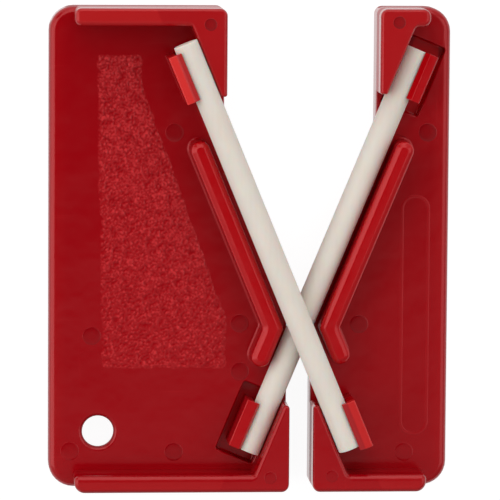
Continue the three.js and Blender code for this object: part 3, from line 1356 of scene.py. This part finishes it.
@dataclass(frozen=True)
class GuardRib:
    """Guard rib: one leg beside each rod, bent at the crossing, with a bevelled top."""

    gap: float = 0.85
    width: float = 3.6
    drop: float = 1.2
    edge: float = 1.2
    slope: float = 0.8
    bevel: float = 1.48
    fillet: float = 0.6
    near_share: float = 0.95
    near_flare: float = 0.05
    end_round: float = 1.7
    bend_round: float = 1.4
    head_gap: float = 7.65
    foot_gap: float = 6.8

    def outline(self, seats: RodSeats) -> Outline:
        """Plan of the rib.

        Args:
            seats: How the rods sit.

        Returns:
            The outline.
        """
        layout = seats.layout
        near = -(ROD_RADIUS + self.gap)
        far = near - self.width
        head = seats.inner_end(Seat.UPPER) + self.head_gap
        foot = seats.inner_end(Seat.LOWER) - self.foot_gap
        far_bend, near_bend = (
            lines_meet(
                layout.point(Seat.UPPER, 0.0, across),
                layout.along(Seat.UPPER),
                layout.point(Seat.LOWER, 0.0, across),
                layout.along(Seat.LOWER),
            )
            for across in (far, near)
        )
        near_side = (self.near_share, self.near_flare)
        return Outline([
            Corner(tuple(layout.point(Seat.UPPER, head, far)), self.end_round),
            Corner(tuple(far_bend), self.bend_round),
            Corner(tuple(layout.point(Seat.LOWER, foot, far)), self.end_round),
            Corner(tuple(layout.point(Seat.LOWER, foot, near)), self.end_round, *near_side),
            Corner(tuple(near_bend), self.bend_round, *near_side),
            Corner(tuple(layout.point(Seat.UPPER, head, near)), self.end_round),
        ])

    def form(self, seats: RodSeats, floor: float, wall_top: float) -> Form:
        """Rib over its outline, a little lower than the walls.

        Args:
            seats: How the rods sit.
            floor: Height of the floor's front.
            wall_top: Height of the walls.

        Returns:
            The closed form.
        """
        section = side_section(
            floor - ROOT_DEPTH,
            wall_top - self.drop,
            self.edge,
            self.fillet,
            floor,
            drop=self.slope,
            bevel=self.bevel,
        )
        return self.outline(seats).raised(section)


@dataclass(frozen=True)
class PinMark:
    """Round mark of an ejector pin: its place in plan and how much deeper its colour is."""

    place: Place
    shade: float


@dataclass(frozen=True)
class EjectorPins:
    """Marks of the ejector pins: shallow recesses on the blocks and low discs on the floor."""

    on_blocks: tuple[PinMark, ...]
    on_floor: tuple[PinMark, ...]
    recess_diameter: float = 2.7
    recess_depth: float = 0.05
    recess_slope: float = 0.15
    recess_lip: float = 0.01
    recess_inset: float = 0.1
    recess_sides: int = 40
    disc_diameter: float = 3.7
    disc_height: float = 0.04
    disc_sides: int = 48

    def recess(self, place: Place, top: float) -> Form:
        """Shallow round recess with a sloped side.

        Args:
            place: Its middle in plan.
            top: Height of the block.

        Returns:
            The closed form to cut.
        """
        radius = self.recess_diameter / 2
        section = np.array([
            [radius - self.recess_slope, top - self.recess_depth],
            [radius, top + self.recess_lip],
            [radius, top + CUT_PAST],
        ])
        return turned(section, place, self.recess_sides)

    def disc(self, mark: PinMark, radius: float, surface: float) -> Relief:
        """Round face left by a pin, as a very low disc with a soft rim.

        The section climbs out of the surface over a quarter of the radius and is level inside.

        Args:
            mark: Its place and shade.
            radius: Its radius.
            surface: Height of the surface it lies on.

        Returns:
            The disc with how dark its mark is at every point.
        """
        share = np.array([1.0, 1.0, 0.96, 0.91, 0.84, 0.74, 0.3, 0.05])
        lift = np.array([-9.0, -1.0, 0.2, 0.5, 0.8, 1.0, 1.0, 1.0])
        inside = np.array([0.0, 0.0, 0.5, 0.9, 1.0, 0.75, 0.6, 0.6])
        section = np.stack([radius * share, surface + self.disc_height * lift], axis=1)
        pressed = np.repeat(mark.shade * inside, self.disc_sides)
        form = turned(section, mark.place, self.disc_sides)
        return Relief(form, np.zeros(len(pressed)), pressed)

    def discs(self, floor: float, top: float) -> list[Relief]:
        """Discs on the floor and in the recesses.

        Args:
            floor: Height of the floor's front.
            top: Height of the blocks.

        Returns:
            One disc for each mark.
        """
        radius = self.disc_diameter / 2
        on_floor = [self.disc(mark, radius, floor) for mark in self.on_floor]
        radius = self.recess_diameter / 2 - self.recess_inset
        bottom = top - self.recess_depth
        return on_floor + [self.disc(mark, radius, bottom) for mark in self.on_blocks]


@dataclass
class MouldedHalf:
    """One moulded half: a floor with a rim behind it, and the forms that grow from it.

    The reaches are the distances from the crossing to its outer sides.
    """

    layout: Layout
    node: str
    reach: float
    top_reach: float
    foot_reach: float
    pins: EjectorPins
    rear: Seat = Seat.LOWER
    mirrored: bool = False
    rim_height: float = 5.2
    rim_thickness: float = 1.8
    floor_thickness: float = 1.6
    floor_edge: float = 1.5
    inner_edge: float = 0.3
    back_edge: float = 0.25
    hollow_edge: float = 0.5
    outer_corner: float = 4.76
    inner_corner: float = 1.5
    v_setback: float = 1.4
    block_rise: float = 0.7
    upper_wall: WedgeWall = WedgeWall()
    lower_wall: WedgeWall = WedgeWall(
        tip_round=0.7,
        nose=0.9,
        end=2.0,
        side_edge=0.3,
        outer_edge=1.0,
        face_edge=0.8,
        wall_edge=1.25,
    )
    front_hook: SnapHook = SnapHook()
    rear_hook: SnapHook = SnapHook(lip_round=0.3)
    ledge: Ledge = Ledge()
    pocket: RodPocket = RodPocket()
    rib: GuardRib = GuardRib()

    @property
    def seats(self) -> RodSeats:
        """How the rods sit in the half."""
        return RodSeats(self.layout, self.rear)

    @property
    def wall_top(self) -> float:
        """Height of the walls and the wedge blocks."""
        return self.layout.front_axis + self.block_rise

    @property
    def floor_back(self) -> float:
        """Height of the floor's back."""
        return self.rim_height - self.floor_thickness

    def floor_outline(self, inner_share: float) -> Outline:
        """Plan of the floor: a rounded rectangle cut back behind the rods.

        Args:
            inner_share: Share of an inset that the edges along the V take.

        Returns:
            The outline.
        """
        up = np.array([0.0, 1.0])
        upper_along = self.layout.along(Seat.UPPER)
        v_line = self.layout.point(Seat.UPPER, 0.0, ROD_RADIUS - self.v_setback)
        foot_side = self.lower_wall.inner_side(self.seats, Seat.LOWER)
        mouth_side = self.upper_wall.inner_side(self.seats, Seat.UPPER)
        low = lines_meet(v_line, upper_along, np.array([foot_side, 0.0]), up)
        high = lines_meet(v_line, upper_along, np.array([mouth_side, 0.0]), up)
        return Outline([
            Corner((-self.reach, -self.foot_reach), self.outer_corner),
            Corner((foot_side, -self.foot_reach), self.inner_corner, inner_share),
            Corner(tuple(low), self.inner_corner, inner_share),
            Corner(tuple(high), self.inner_corner, inner_share),
            Corner((mouth_side, self.top_reach), self.inner_corner),
            Corner((-self.reach, self.top_reach), self.outer_corner),
        ])

    def steps(self) -> list[tuple[Joining, Form]]:
        """Forms of the half after its floor, in the order they are joined.

        Returns:
            Each form with how it is joined.
        """
        seats, floor, top = self.seats, self.rim_height, self.wall_top
        wall_end = self.outer_corner - self.reach
        upper = self.upper_wall.form(seats, Seat.UPPER, self.top_reach, wall_end, top)
        lower = self.lower_wall.form(seats, Seat.LOWER, -self.foot_reach, wall_end, top)
        inset = self.rim_thickness
        hollow = side_section(-CUT_PAST, self.floor_back, self.hollow_edge, shift=inset)
        bottom = floor - self.pocket.depth
        front_axis, rear_axis = self.layout.front_axis, self.layout.rear_axis
        recesses = [self.pins.recess(mark.place, top) for mark in self.pins.on_blocks]
        return [
            (Joining.ADD, upper),
            (Joining.ADD, lower),
            (Joining.CUT, self.floor_outline(1.0).raised(hollow)),
            (Joining.ADD, self.pocket.boss(seats, bottom, self.floor_back)),
            (Joining.CUT, self.pocket.hollow(seats, floor, top)),
            (Joining.ADD, self.rib.form(seats, floor, top)),
            (Joining.ADD, self.ledge.form(seats, floor)),
            (Joining.ADD, self.front_hook.form(seats, seats.front, front_axis, floor)),
            (Joining.ADD, self.rear_hook.form(seats, seats.rear, rear_axis, bottom)),
            *((Joining.CUT, recess) for recess in recesses),
        ]

    def reliefs(self) -> list[Relief]:
        """Low relief on the floor and on the blocks."""
        return self.pins.discs(self.rim_height, self.wall_top)

    def bore(self) -> Triple | None:
        """Place in plan and radius of a hole through the floor, in metres, or None."""
        return None

    def place(self) -> HalfPlace:
        """Where the half lies for its finish, with its side towards the rods left open.

        Returns:
            Its outer sides, its rods and its hole.
        """
        low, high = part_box(self.node)
        if self.mirrored:
            return HalfPlace((-FAR_AWAY, low.y), (high.x, high.y), self.layout, -1.0, self.bore())
        return HalfPlace((low.x, low.y), (FAR_AWAY, high.y), self.layout, 1.0, self.bore())

    def mesh(self) -> bpy.types.Mesh:
        """Joins the body and lays the low relief on it, with its values at the points.

        Returns:
            The half's mesh, on its own side of the crossing.
        """
        floor = self.floor_outline(self.inner_edge / self.floor_edge)
        sides = side_section(0.0, self.rim_height, self.floor_edge, back=self.back_edge)
        made = joined(f"{self.node}_body", floor.raised(sides), self.steps(), self.layout)
        for value in PointValue:
            made.attributes.new(value.value, "FLOAT", "POINT")
        work = bmesh.new()
        work.from_mesh(made)
        for number, relief in enumerate(self.reliefs()):
            extra = relief.mesh(f"{self.node}_relief_{number}", self.layout)
            work.from_mesh(extra)
            bpy.data.meshes.remove(extra)
        work.to_mesh(made)
        work.free()
        if self.mirrored:
            mirror_in_x(made, self.layout.crossing[0] * MM)
        return made

    def build(self, finish: MouldedPlastic) -> bpy.types.Object:
        """Makes the half, dresses it and lets it stand for its solid.

        Args:
            finish: Plastic it is moulded in.

        Returns:
            The finished piece.
        """
        made = smooth_object(f"{self.node}_moulding", self.mesh())
        made.data.materials.clear()
        made.data.materials.append(finish.material(f"{self.node}_red_plastic", self.place()))
        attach(made, "frame")
        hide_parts(self.node)
        return made


@dataclass(frozen=True)
class PadGrain:
    """Grain of the thumb pad: fine waves over broad ones, with painted glints and painted shade.

    A pair gives a value at the pad's foot and how much it gains up to the pad's head.
    """

    fine_pitch: float = 0.48
    fine_share: float = 0.95
    broad_pitch: float = 1.5
    broad_share: float = 0.38
    border_pitch: float = 2.6
    seed: int = 11
    grid: float = 0.1
    lift: float = 0.01
    height: float = 0.1
    steepness: float = 0.7
    # Pale tone of the pad, partly painted sheen, at the foot and gained up to the head.
    ground: Pair = (0.37, 0.08)
    contrast: Pair = (0.28, 0.10)
    brightest: float = 1.3
    # Painted glints on the highest waves.
    glint_start: float = 1.4
    glint_share: float = 0.75
    # Painted shade in the lowest waves, at the foot and gained up to the head.
    pit_shade_share: Pair = (0.25, 0.45)
    pit_slope: float = 0.34
    pit_start: float = 0.24
    pit_limit: float = 0.6

    def field(self, x: np.ndarray, y: np.ndarray, pitch: float, seed: int) -> np.ndarray:
        """Uneven waves with a mean of 0 and a spread of 1.

        Even noise on a square grid loses the waves that are much shorter than the pitch, and the
        four nearest values give the waves between grid points.

        Args:
            x: Places to the right, in millimetres.
            y: Places upwards, in millimetres.
            pitch: Length of the shortest waves that are kept.
            seed: Seed of the noise.

        Returns:
            Waves at the places.
        """
        step = self.grid
        shape = (int(np.ptp(y) / step) + 4, int(np.ptp(x) / step) + 4)
        even = np.random.default_rng(seed).standard_normal(shape)
        up, right = np.fft.fftfreq(shape[0], step), np.fft.rfftfreq(shape[1], step)
        keep = np.exp(-((np.hypot(up[:, None], right[None, :]) * pitch) ** 4))
        waves = np.fft.irfft2(np.fft.rfft2(even) * keep, s=shape)
        waves /= waves.std()
        column = (x - x.min()) / step
        row = (y - y.min()) / step
        i, j = row.astype(int), column.astype(int)
        a, b = row - i, column - j
        lower = waves[i, j] * (1 - b) + waves[i, j + 1] * b
        upper = waves[i + 1, j] * (1 - b) + waves[i + 1, j + 1] * b
        return lower * (1 - a) + upper * a

    def waves(self, x: np.ndarray, y: np.ndarray) -> np.ndarray:
        """Fine waves over broad ones."""
        fine = self.fine_share * self.field(x, y, self.fine_pitch, self.seed)
        return fine + self.broad_share * self.field(x, y, self.broad_pitch, self.seed + 2)

    def border(self, x: np.ndarray, y: np.ndarray) -> np.ndarray:
        """Slow waves of the pad's border."""
        return self.field(x, y, self.border_pitch, self.seed + 1)

    def heights(self, waves: np.ndarray) -> np.ndarray:
        """Height above the floor: the lift, and a share of the height that follows tanh."""
        return self.lift + self.height * (0.5 + 0.5 * np.tanh(self.steepness * waves))

    def shown(self, waves: np.ndarray, climb: np.ndarray) -> np.ndarray:
        """Pale tone, partly painted sheen: a mottle, and painted glints on the highest waves.

        Args:
            waves: Waves at every point.
            climb: How far up the pad each point is, from 0 to 1.

        Returns:
            Grain at every point.
        """
        ground = self.ground[0] + self.ground[1] * climb
        contrast = self.contrast[0] + self.contrast[1] * climb
        mottle = np.clip(ground + contrast * waves, 0, self.brightest)
        return mottle + self.glint_share * np.clip(waves - self.glint_start, 0, 1)

    def pit_shade(self, waves: np.ndarray, climb: np.ndarray) -> np.ndarray:
        """How dark the painted shade in the lowest waves is."""
        share = self.pit_shade_share[0] + self.pit_shade_share[1] * climb
        return share * np.clip(-self.pit_slope * waves - self.pit_start, 0, self.pit_limit)


@dataclass(frozen=True)
class ThumbPad:
    """Grained pad as a shallow slab let into the floor.

    Its right side is upright up to the bend and past the shoulder, and slanted between them.
    """

    low: float = -9.2
    high: float = 53.0
    left_low: float = -38.8
    left_high: float = -40.05
    right_low: float = -13.5
    right_high: float = -29.9
    bend: float = 1.5
    shoulder: float = 46.4
    corner: float = 1.6
    border: float = 1.3
    waver: float = 0.1
    rim: float = 0.3
    sink: float = 0.05
    columns: int = 165
    rows: int = 400
    grain: PadGrain = PadGrain()

    def inside(self, beside: np.ndarray, ends: np.ndarray, slow: np.ndarray) -> np.ndarray:
        """How far inside the pad's border a point is, as a smooth step from 0 to 1.

        The distance from the edge follows a rounded corner, and slow waves move the border.

        Args:
            beside: Distance from the nearer side.
            ends: Distance from the nearer end.
            slow: Slow waves of the border.

        Returns:
            0 at the edge and 1 inside.
        """
        corner = self.corner
        edge = corner - np.hypot(np.maximum(corner - beside, 0), np.maximum(corner - ends, 0))
        wavering = (edge + self.waver * slow - self.waver) / self.border
        step = np.clip(wavering, 0, 1) * np.clip(edge / self.rim, 0, 1)
        return step * step * (3 - 2 * step)

    def relief(self, floor: float) -> Relief:
        """Makes the pad on the floor.

        Each row runs from the left side to the right side. The height is the floor plus the
        waves, and it sinks into the floor over a wavering border. The highest places get painted
        glints, and the lowest ones painted shade.

        Args:
            floor: Height of the floor's front.

        Returns:
            The pad with its pale tone, painted sheen and glints, and its painted shade at every
            point.
        """
        rows = np.linspace(self.low, self.high, self.rows)[:, None]
        climb = (rows - self.low) / (self.high - self.low)
        slant = np.clip((rows - self.bend) / (self.shoulder - self.bend), 0, 1)
        left = self.left_low + (self.left_high - self.left_low) * climb
        right = self.right_low + (self.right_high - self.right_low) * slant
        x = left + (right - left) * np.linspace(0, 1, self.columns)
        y = np.broadcast_to(rows, x.shape)
        waves = self.grain.waves(x, y)
        beside = np.minimum(x - left, right - x)
        ends = np.minimum(y - self.low, self.high - y)
        inside = self.inside(beside, ends, self.grain.border(x, y))
        z = floor + (self.grain.heights(waves) + self.sink) * inside - self.sink
        index = np.arange(x.size).reshape(x.shape)
        corners = [index[:-1, :-1], index[:-1, 1:], index[1:, 1:], index[1:, :-1]]
        quads = np.stack(corners, axis=-1).reshape(-1, 4).tolist()
        border = [index[0, :-1], index[:-1, -1], index[-1, :0:-1], index[:0:-1, 0]]
        back = np.concatenate(border)[::-1].tolist()
        form = Form(np.stack([x, y, z], axis=-1).reshape(-1, 3), [*quads, back])
        shown = (inside * self.grain.shown(waves, climb)).reshape(-1)
        pit_shade = (inside * self.grain.pit_shade(waves, climb)).reshape(-1)
        return Relief(form, shown, pit_shade)


@dataclass(frozen=True)
class KeyRingHole:
    """Round hole through the floor, with its front edge rounded over a quarter circle."""

    diameter: float = 6.1
    edge: float = 0.8
    from_side: float = 9.55
    from_foot: float = 10.85
    edge_points: int = 8
    sides: int = 64

    def form(self, place: Place, floor: float, floor_back: float) -> Form:
        """Turned form of the hole.

        Args:
            place: Its middle in plan.
            floor: Height of the floor's front.
            floor_back: Height of the floor's back.

        Returns:
            The closed form to cut.
        """
        radius, edge = self.diameter / 2, self.edge
        turn = quarter_turn(self.edge_points)
        outward = radius + edge * (1 - np.cos(turn))
        upward = floor - edge + edge * np.sin(turn)
        below = np.array([[radius, floor_back - CUT_PAST]])
        above = np.array([[radius + edge, floor + CUT_PAST]])
        section = np.concatenate([below, np.stack([outward, upward], axis=1), above])
        return turned(section, place, self.sides)


@dataclass
class GripHalf(MouldedHalf):
    """The wide half, with a grained thumb pad and a key-ring hole."""

    pins: EjectorPins = EjectorPins(
        on_blocks=(PinMark((-17.95, 58.6), 0.75), PinMark((-5.95, -28.85), 0.25)),
        on_floor=(
            PinMark((-24.3, 37.3), 0.4),
            PinMark((-40.2, -2.2), 0.4),
            PinMark((-24.2, -24.9), 0.4),
            PinMark((-11.5, 0.2), 0.4),
            PinMark((-11.4, -9.2), 0.4),
            PinMark((-44.4, -24.7), 0.15),
        ),
    )
    upper_wall: WedgeWall = replace(MouldedHalf.upper_wall, fillet=0.45)
    lower_wall: WedgeWall = replace(MouldedHalf.lower_wall, fillet=0.45)
    rear_hook: SnapHook = SnapHook(lip_setback=-0.4, lip_round=0.3, trim=(0.55, 0.5))
    pocket: RodPocket = RodPocket(extra_end=0.7)
    rib: GuardRib = GuardRib(foot_gap=6.25)
    hole: KeyRingHole = KeyRingHole()
    pad: ThumbPad = ThumbPad()

    @property
    def hole_place(self) -> Place:
        """Middle of the key-ring hole, in plan."""
        return self.hole.from_side - self.reach, self.hole.from_foot - self.foot_reach

    def bore(self) -> Triple:
        """Place in plan and radius of the key-ring hole, in metres."""
        x, y = (at + off for at, off in zip(self.layout.crossing, self.hole_place))
        return x * MM, y * MM, self.hole.diameter / 2 * MM

    def steps(self) -> list[tuple[Joining, Form]]:
        """Forms of the half, with the key-ring hole cut last."""
        hole = self.hole.form(self.hole_place, self.rim_height, self.floor_back)
        return [*super().steps(), (Joining.CUT, hole)]

    def reliefs(self) -> list[Relief]:
        """Low relief on the floor, with the thumb pad."""
        return [*super().reliefs(), self.pad.relief(self.rim_height)]


@dataclass(frozen=True)
class BarePanel:
    """Bare panel with rounded ends, outlined by a fine ridge that shows a little wear."""

    near: float = -20.0
    far: float = -25.1
    low: float = -21.5
    high: float = 24.95
    corner: float = 2.4
    ridge_width: float = 0.6
    ridge_height: float = 0.03
    ridge_wear: float = 0.2

    def relief(self, floor: float) -> Relief:
        """Makes the ridge on the floor.

        Args:
            floor: Height of the floor's front.

        Returns:
            The ridge with its wear at every point.
        """
        places = [
            (self.far, self.low),
            (self.near, self.low),
            (self.near, self.high),
            (self.far, self.high),
        ]
        outline = Outline([Corner(at, self.corner) for at in places])
        ridge = outline.ridge(self.ridge_width, self.ridge_height, floor)
        plain = np.zeros(len(ridge.points))
        return Relief(ridge, plain + self.ridge_wear, plain)


@dataclass
class NarrowHalf(MouldedHalf):
    """The narrow half, with a bare panel."""

    pins: EjectorPins = EjectorPins(
        on_blocks=(PinMark((-18.2, 59.1), 0.75), PinMark((-6.0, -28.55), 0.25)),
        on_floor=(
            PinMark((-24.8, 37.4), 0.6),
            PinMark((-11.75, 0.0), 0.4),
            PinMark((-20.8, -25.1), 0.1),
        ),
    )
    rear: Seat = Seat.UPPER
    mirrored: bool = True
    upper_wall: WedgeWall = WedgeWall(tip_lead=0.6, tip_width=1.45, nose=1.5, end=1.5)
    pocket: RodPocket = RodPocket(extra_end=0.5)
    panel: BarePanel = BarePanel()

    def reliefs(self) -> list[Relief]:
        """Low relief on the floor, with the bare panel."""
        return [*super().reliefs(), self.panel.relief(self.rim_height)]


@dataclass
class CeramicRod:
    """Round ceramic rod with eased ends, lying through the crossing.

    Its side is the one it leans to on its way up, 1 for the right and -1 for the left. The slide
    moves it along its axis from its nominal place.
    """

    layout: Layout
    node: str
    side: int
    axis: float
    slide: float
    ease: float = 0.14
    ease_points: int = 6
    sides: int = 128
    rows: int = 60

    def surface(self) -> Form:
        """Round bar along the rod's axis.

        Ring m is a circle of radius m about the axis. The radius is the full one except over the
        last ease of length at both ends, where it follows a quarter circle.

        Returns:
            The closed form.
        """
        lean = self.layout.lean
        along = np.array([self.side * math.sin(lean), math.cos(lean), 0.0])
        across = np.array([math.cos(lean), -self.side * math.sin(lean), 0.0])
        up = np.array([0.0, 0.0, 1.0])
        turn = quarter_turn(self.ease_points)
        start = self.slide - ROD_BELOW
        end = start + ROD_ABOVE + ROD_BELOW
        middle = np.linspace(start + self.ease, end - self.ease, self.rows)[1:-1]
        taper = self.ease * (1 - np.cos(turn))
        places = np.concatenate([start + taper, middle, end - taper[::-1]])
        shrink = self.ease * (1 - np.sin(turn))
        radii = ROD_RADIUS - np.concatenate([shrink, np.zeros(len(middle)), shrink[::-1]])
        angle = full_turn(self.sides)[:, None]
        circle = np.cos(angle) * up + np.sin(angle) * across
        return Form.stack(
            places[:, None, None] * along + radii[:, None, None] * circle + self.axis * up
        )

    def build(self, finish: UnglazedCeramic) -> bpy.types.Object:
        """Makes the rod, dresses it and lets it stand for its solid.

        Args:
            finish: Ceramic it is made of.

        Returns:
            The finished piece.
        """
        mesh = self.surface().mesh(f"{self.node}_surface", self.layout)
        made = smooth_object(f"{self.node}_ceramic", mesh)
        turn = self.side * self.layout.lean
        mesh.materials.append(finish.material(f"{self.node}_unglazed_ceramic", turn))
        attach(made, self.node)
        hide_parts(self.node)
        return made


@dataclass(frozen=True)
class Softbox:
    """Soft square lamp: its place and width in metres, its power, and if gloss shows it."""

    name: str
    place: Triple
    width: float
    power: float
    in_gloss: bool = True

    def build(self) -> None:
        """Makes the lamp, aimed at the object and unseen by the camera."""
        data = bpy.data.lights.new(self.name, "AREA")
        data.shape = "SQUARE"
        data.size = self.width
        data.energy = self.power
        made = new_object(self.name, data)
        made.visible_camera = False
        made.visible_glossy = self.in_gloss
        back = np.array(self.place) / np.linalg.norm(self.place)
        right = np.cross([0.0, 0.0, 1.0], back)
        right /= np.linalg.norm(right)
        stand(made, right, np.cross(back, right), self.place)


@dataclass(frozen=True)
class Room:
    """Dim room round the object: pale walls, dark straight above but for two pale strips.

    Bands are parts of a direction: x to the right, y to the back and z upwards.
    """

    level: float = 0.59
    gain_right: float = -0.24
    gain_back: float = 0.28
    wall_end: Band = Band(0.80, 0.93)
    dim_corner: Band = Band(0.95, 1.3)
    dim_share: float = 0.85
    overhead: Band = Band(0.5, 0.8)
    front_strip: Band = Band(0.09, 0.15)
    front_level: float = 0.40
    right_strip: Band = Band(0.105, 0.15)
    right_level: float = 0.34
    skyline: Band = Band(0.02, 0.12)

    def build(self) -> None:
        """Makes the world; where it is seen directly, it goes over to white at the floor."""
        world = bpy.data.worlds.new("room")
        world.use_nodes = True
        bpy.context.scene.world = world
        graph = ShaderGraph(world.node_tree)
        x, y, z = graph.axes(graph.coordinate("Generated"))
        slope = self.level + self.gain_right * x + self.gain_back * y
        dimmed = 1 - graph.ease(y - x, self.dim_corner) * self.dim_share
        walls = graph.fall(z, self.wall_end) * slope * dimmed
        overhead = graph.ease(z, self.overhead)
        front = overhead * graph.ease(y * -1, self.front_strip) * self.front_level
        right = overhead * graph.ease(x, self.right_strip) * self.right_level
        level = walls | front | right
        skyline = graph.direct_rays() * graph.fall(z, self.skyline)
        seen = level + skyline * (1 - level)
        sky = graph.node("ShaderNodeBackground", None, {"Color": WHITE, "Strength": seen})
        graph.node("ShaderNodeOutputWorld", None, {"Surface": sky})


@dataclass(frozen=True)
class Studio:
    """Pale floor, soft light from the sides and the camera above, in metres."""

    camera_place: Triple = (-0.061513, 0.087039, 0.832371)
    camera_right: Triple = (0.9972653, 0.0067553, 0.0735950)
    camera_up: Triple = (0.0010187, 0.9944626, -0.1050865)
    camera_clip: Span = (0.01, 100.0)
    sensor_width: float = 36.0
    focal_pixels: float = 4305.958
    image_pixels: int = 500
    # Floor: what it reflects between surfaces, and what it reflects and glows when seen.
    floor_half: float = 6.0
    floor_drop: float = 0.0001
    floor_grey: float = 0.42
    floor_seen_grey: float = 0.15
    floor_glow: float = 0.93
    room: Room = Room()
    softboxes: tuple[Softbox, ...] = (
        Softbox("left_softbox", (-0.87, 0.10, 0.50), 1.0, 3.5),
        Softbox("right_softbox", (0.71, 0.08, 0.70), 0.8, 1.8),
        Softbox("top_softbox", (-0.08, 0.82, 0.57), 1.0, 2.7),
        Softbox("overhead_softbox", (0.0, 0.02, 1.1), 1.0, 1.4, in_gloss=False),
    )

    def camera(self) -> None:
        """Makes the camera at the photograph's place, angle and focal length."""
        data = bpy.data.cameras.new("camera")
        data.sensor_width = self.sensor_width
        data.lens = self.sensor_width * self.focal_pixels / self.image_pixels
        data.clip_start, data.clip_end = self.camera_clip
        made = new_object("camera", data)
        stand(made, np.array(self.camera_right), np.array(self.camera_up), self.camera_place)
        bpy.context.scene.camera = made

    def floor_material(self) -> bpy.types.Material:
        """Makes the floor's finish: white when seen, with the object's shadow kept.

        Returns:
            The material.
        """
        material, graph = shaded_material("pale_floor")
        plain = graph.node("ShaderNodeBsdfDiffuse", None, {"Color": grey(self.floor_grey)})
        seen = graph.node("ShaderNodeBsdfDiffuse", None, {"Color": grey(self.floor_seen_grey)})
        light = {"Color": WHITE, "Strength": self.floor_glow}
        glow = graph.node("ShaderNodeEmission", None, light)
        lit = graph.node("ShaderNodeAddShader", None, {0: seen, 1: glow})
        mixed = {0: graph.direct_rays(), 1: plain, 2: lit}
        surface = graph.node("ShaderNodeMixShader", None, mixed)
        graph.node("ShaderNodeOutputMaterial", None, {"Surface": surface})
        return material

    def floor(self) -> None:
        """Makes the pale floor as one large square just below the object."""
        half = self.floor_half
        corners = np.array([[-half, -half], [half, -half], [half, half], [-half, half]])
        points = np.concatenate([corners, np.full((4, 1), -self.floor_drop)], axis=1)
        mesh = bpy.data.meshes.new("pale_floor")
        mesh.from_pydata(points, [], [[0, 1, 2, 3]])
        mesh.materials.append(self.floor_material())
        made = new_object("pale_floor", mesh)

    def build(self) -> None:
        """Makes the whole studio and sets the plain view transform."""
        bpy.context.scene.view_settings.view_transform = "Standard"
        self.camera()
        self.floor()
        for softbox in self.softboxes:
            softbox.build()
        self.room.build()


def main() -> None:
    """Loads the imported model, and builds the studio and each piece."""
    logging.basicConfig(level=logging.INFO, format="%(name)s: %(message)s")
    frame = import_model()
    layout = Layout.from_joints(frame["joints"])
    Studio().build()
    plastic = MouldedPlastic()
    ceramic = UnglazedCeramic()
    grip_low, grip_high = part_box("grip_half")
    narrow_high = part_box("narrow_half")[1]
    grip_reach = layout.crossing[0] - grip_low.x / MM
    narrow_reach = narrow_high.x / MM - layout.crossing[0]
    top_reach = grip_high.y / MM - layout.crossing[1]
    foot_reach = layout.crossing[1] - grip_low.y / MM
    pieces = [
        GripHalf(layout, "grip_half", grip_reach, top_reach, foot_reach).build(plastic),
        NarrowHalf(layout, "narrow_half", narrow_reach, top_reach, foot_reach).build(plastic),
        CeramicRod(layout, "front_rod", -1, layout.front_axis, slide=1.0).build(ceramic),
        CeramicRod(layout, "rear_rod", 1, layout.rear_axis, slide=-0.3).build(ceramic),
    ]
    for piece in pieces:
        shape = piece.data
        LOG.info("%s: %d points, %d faces", piece.name, len(shape.vertices), len(shape.polygons))


if __name__ == "__main__":
    main()
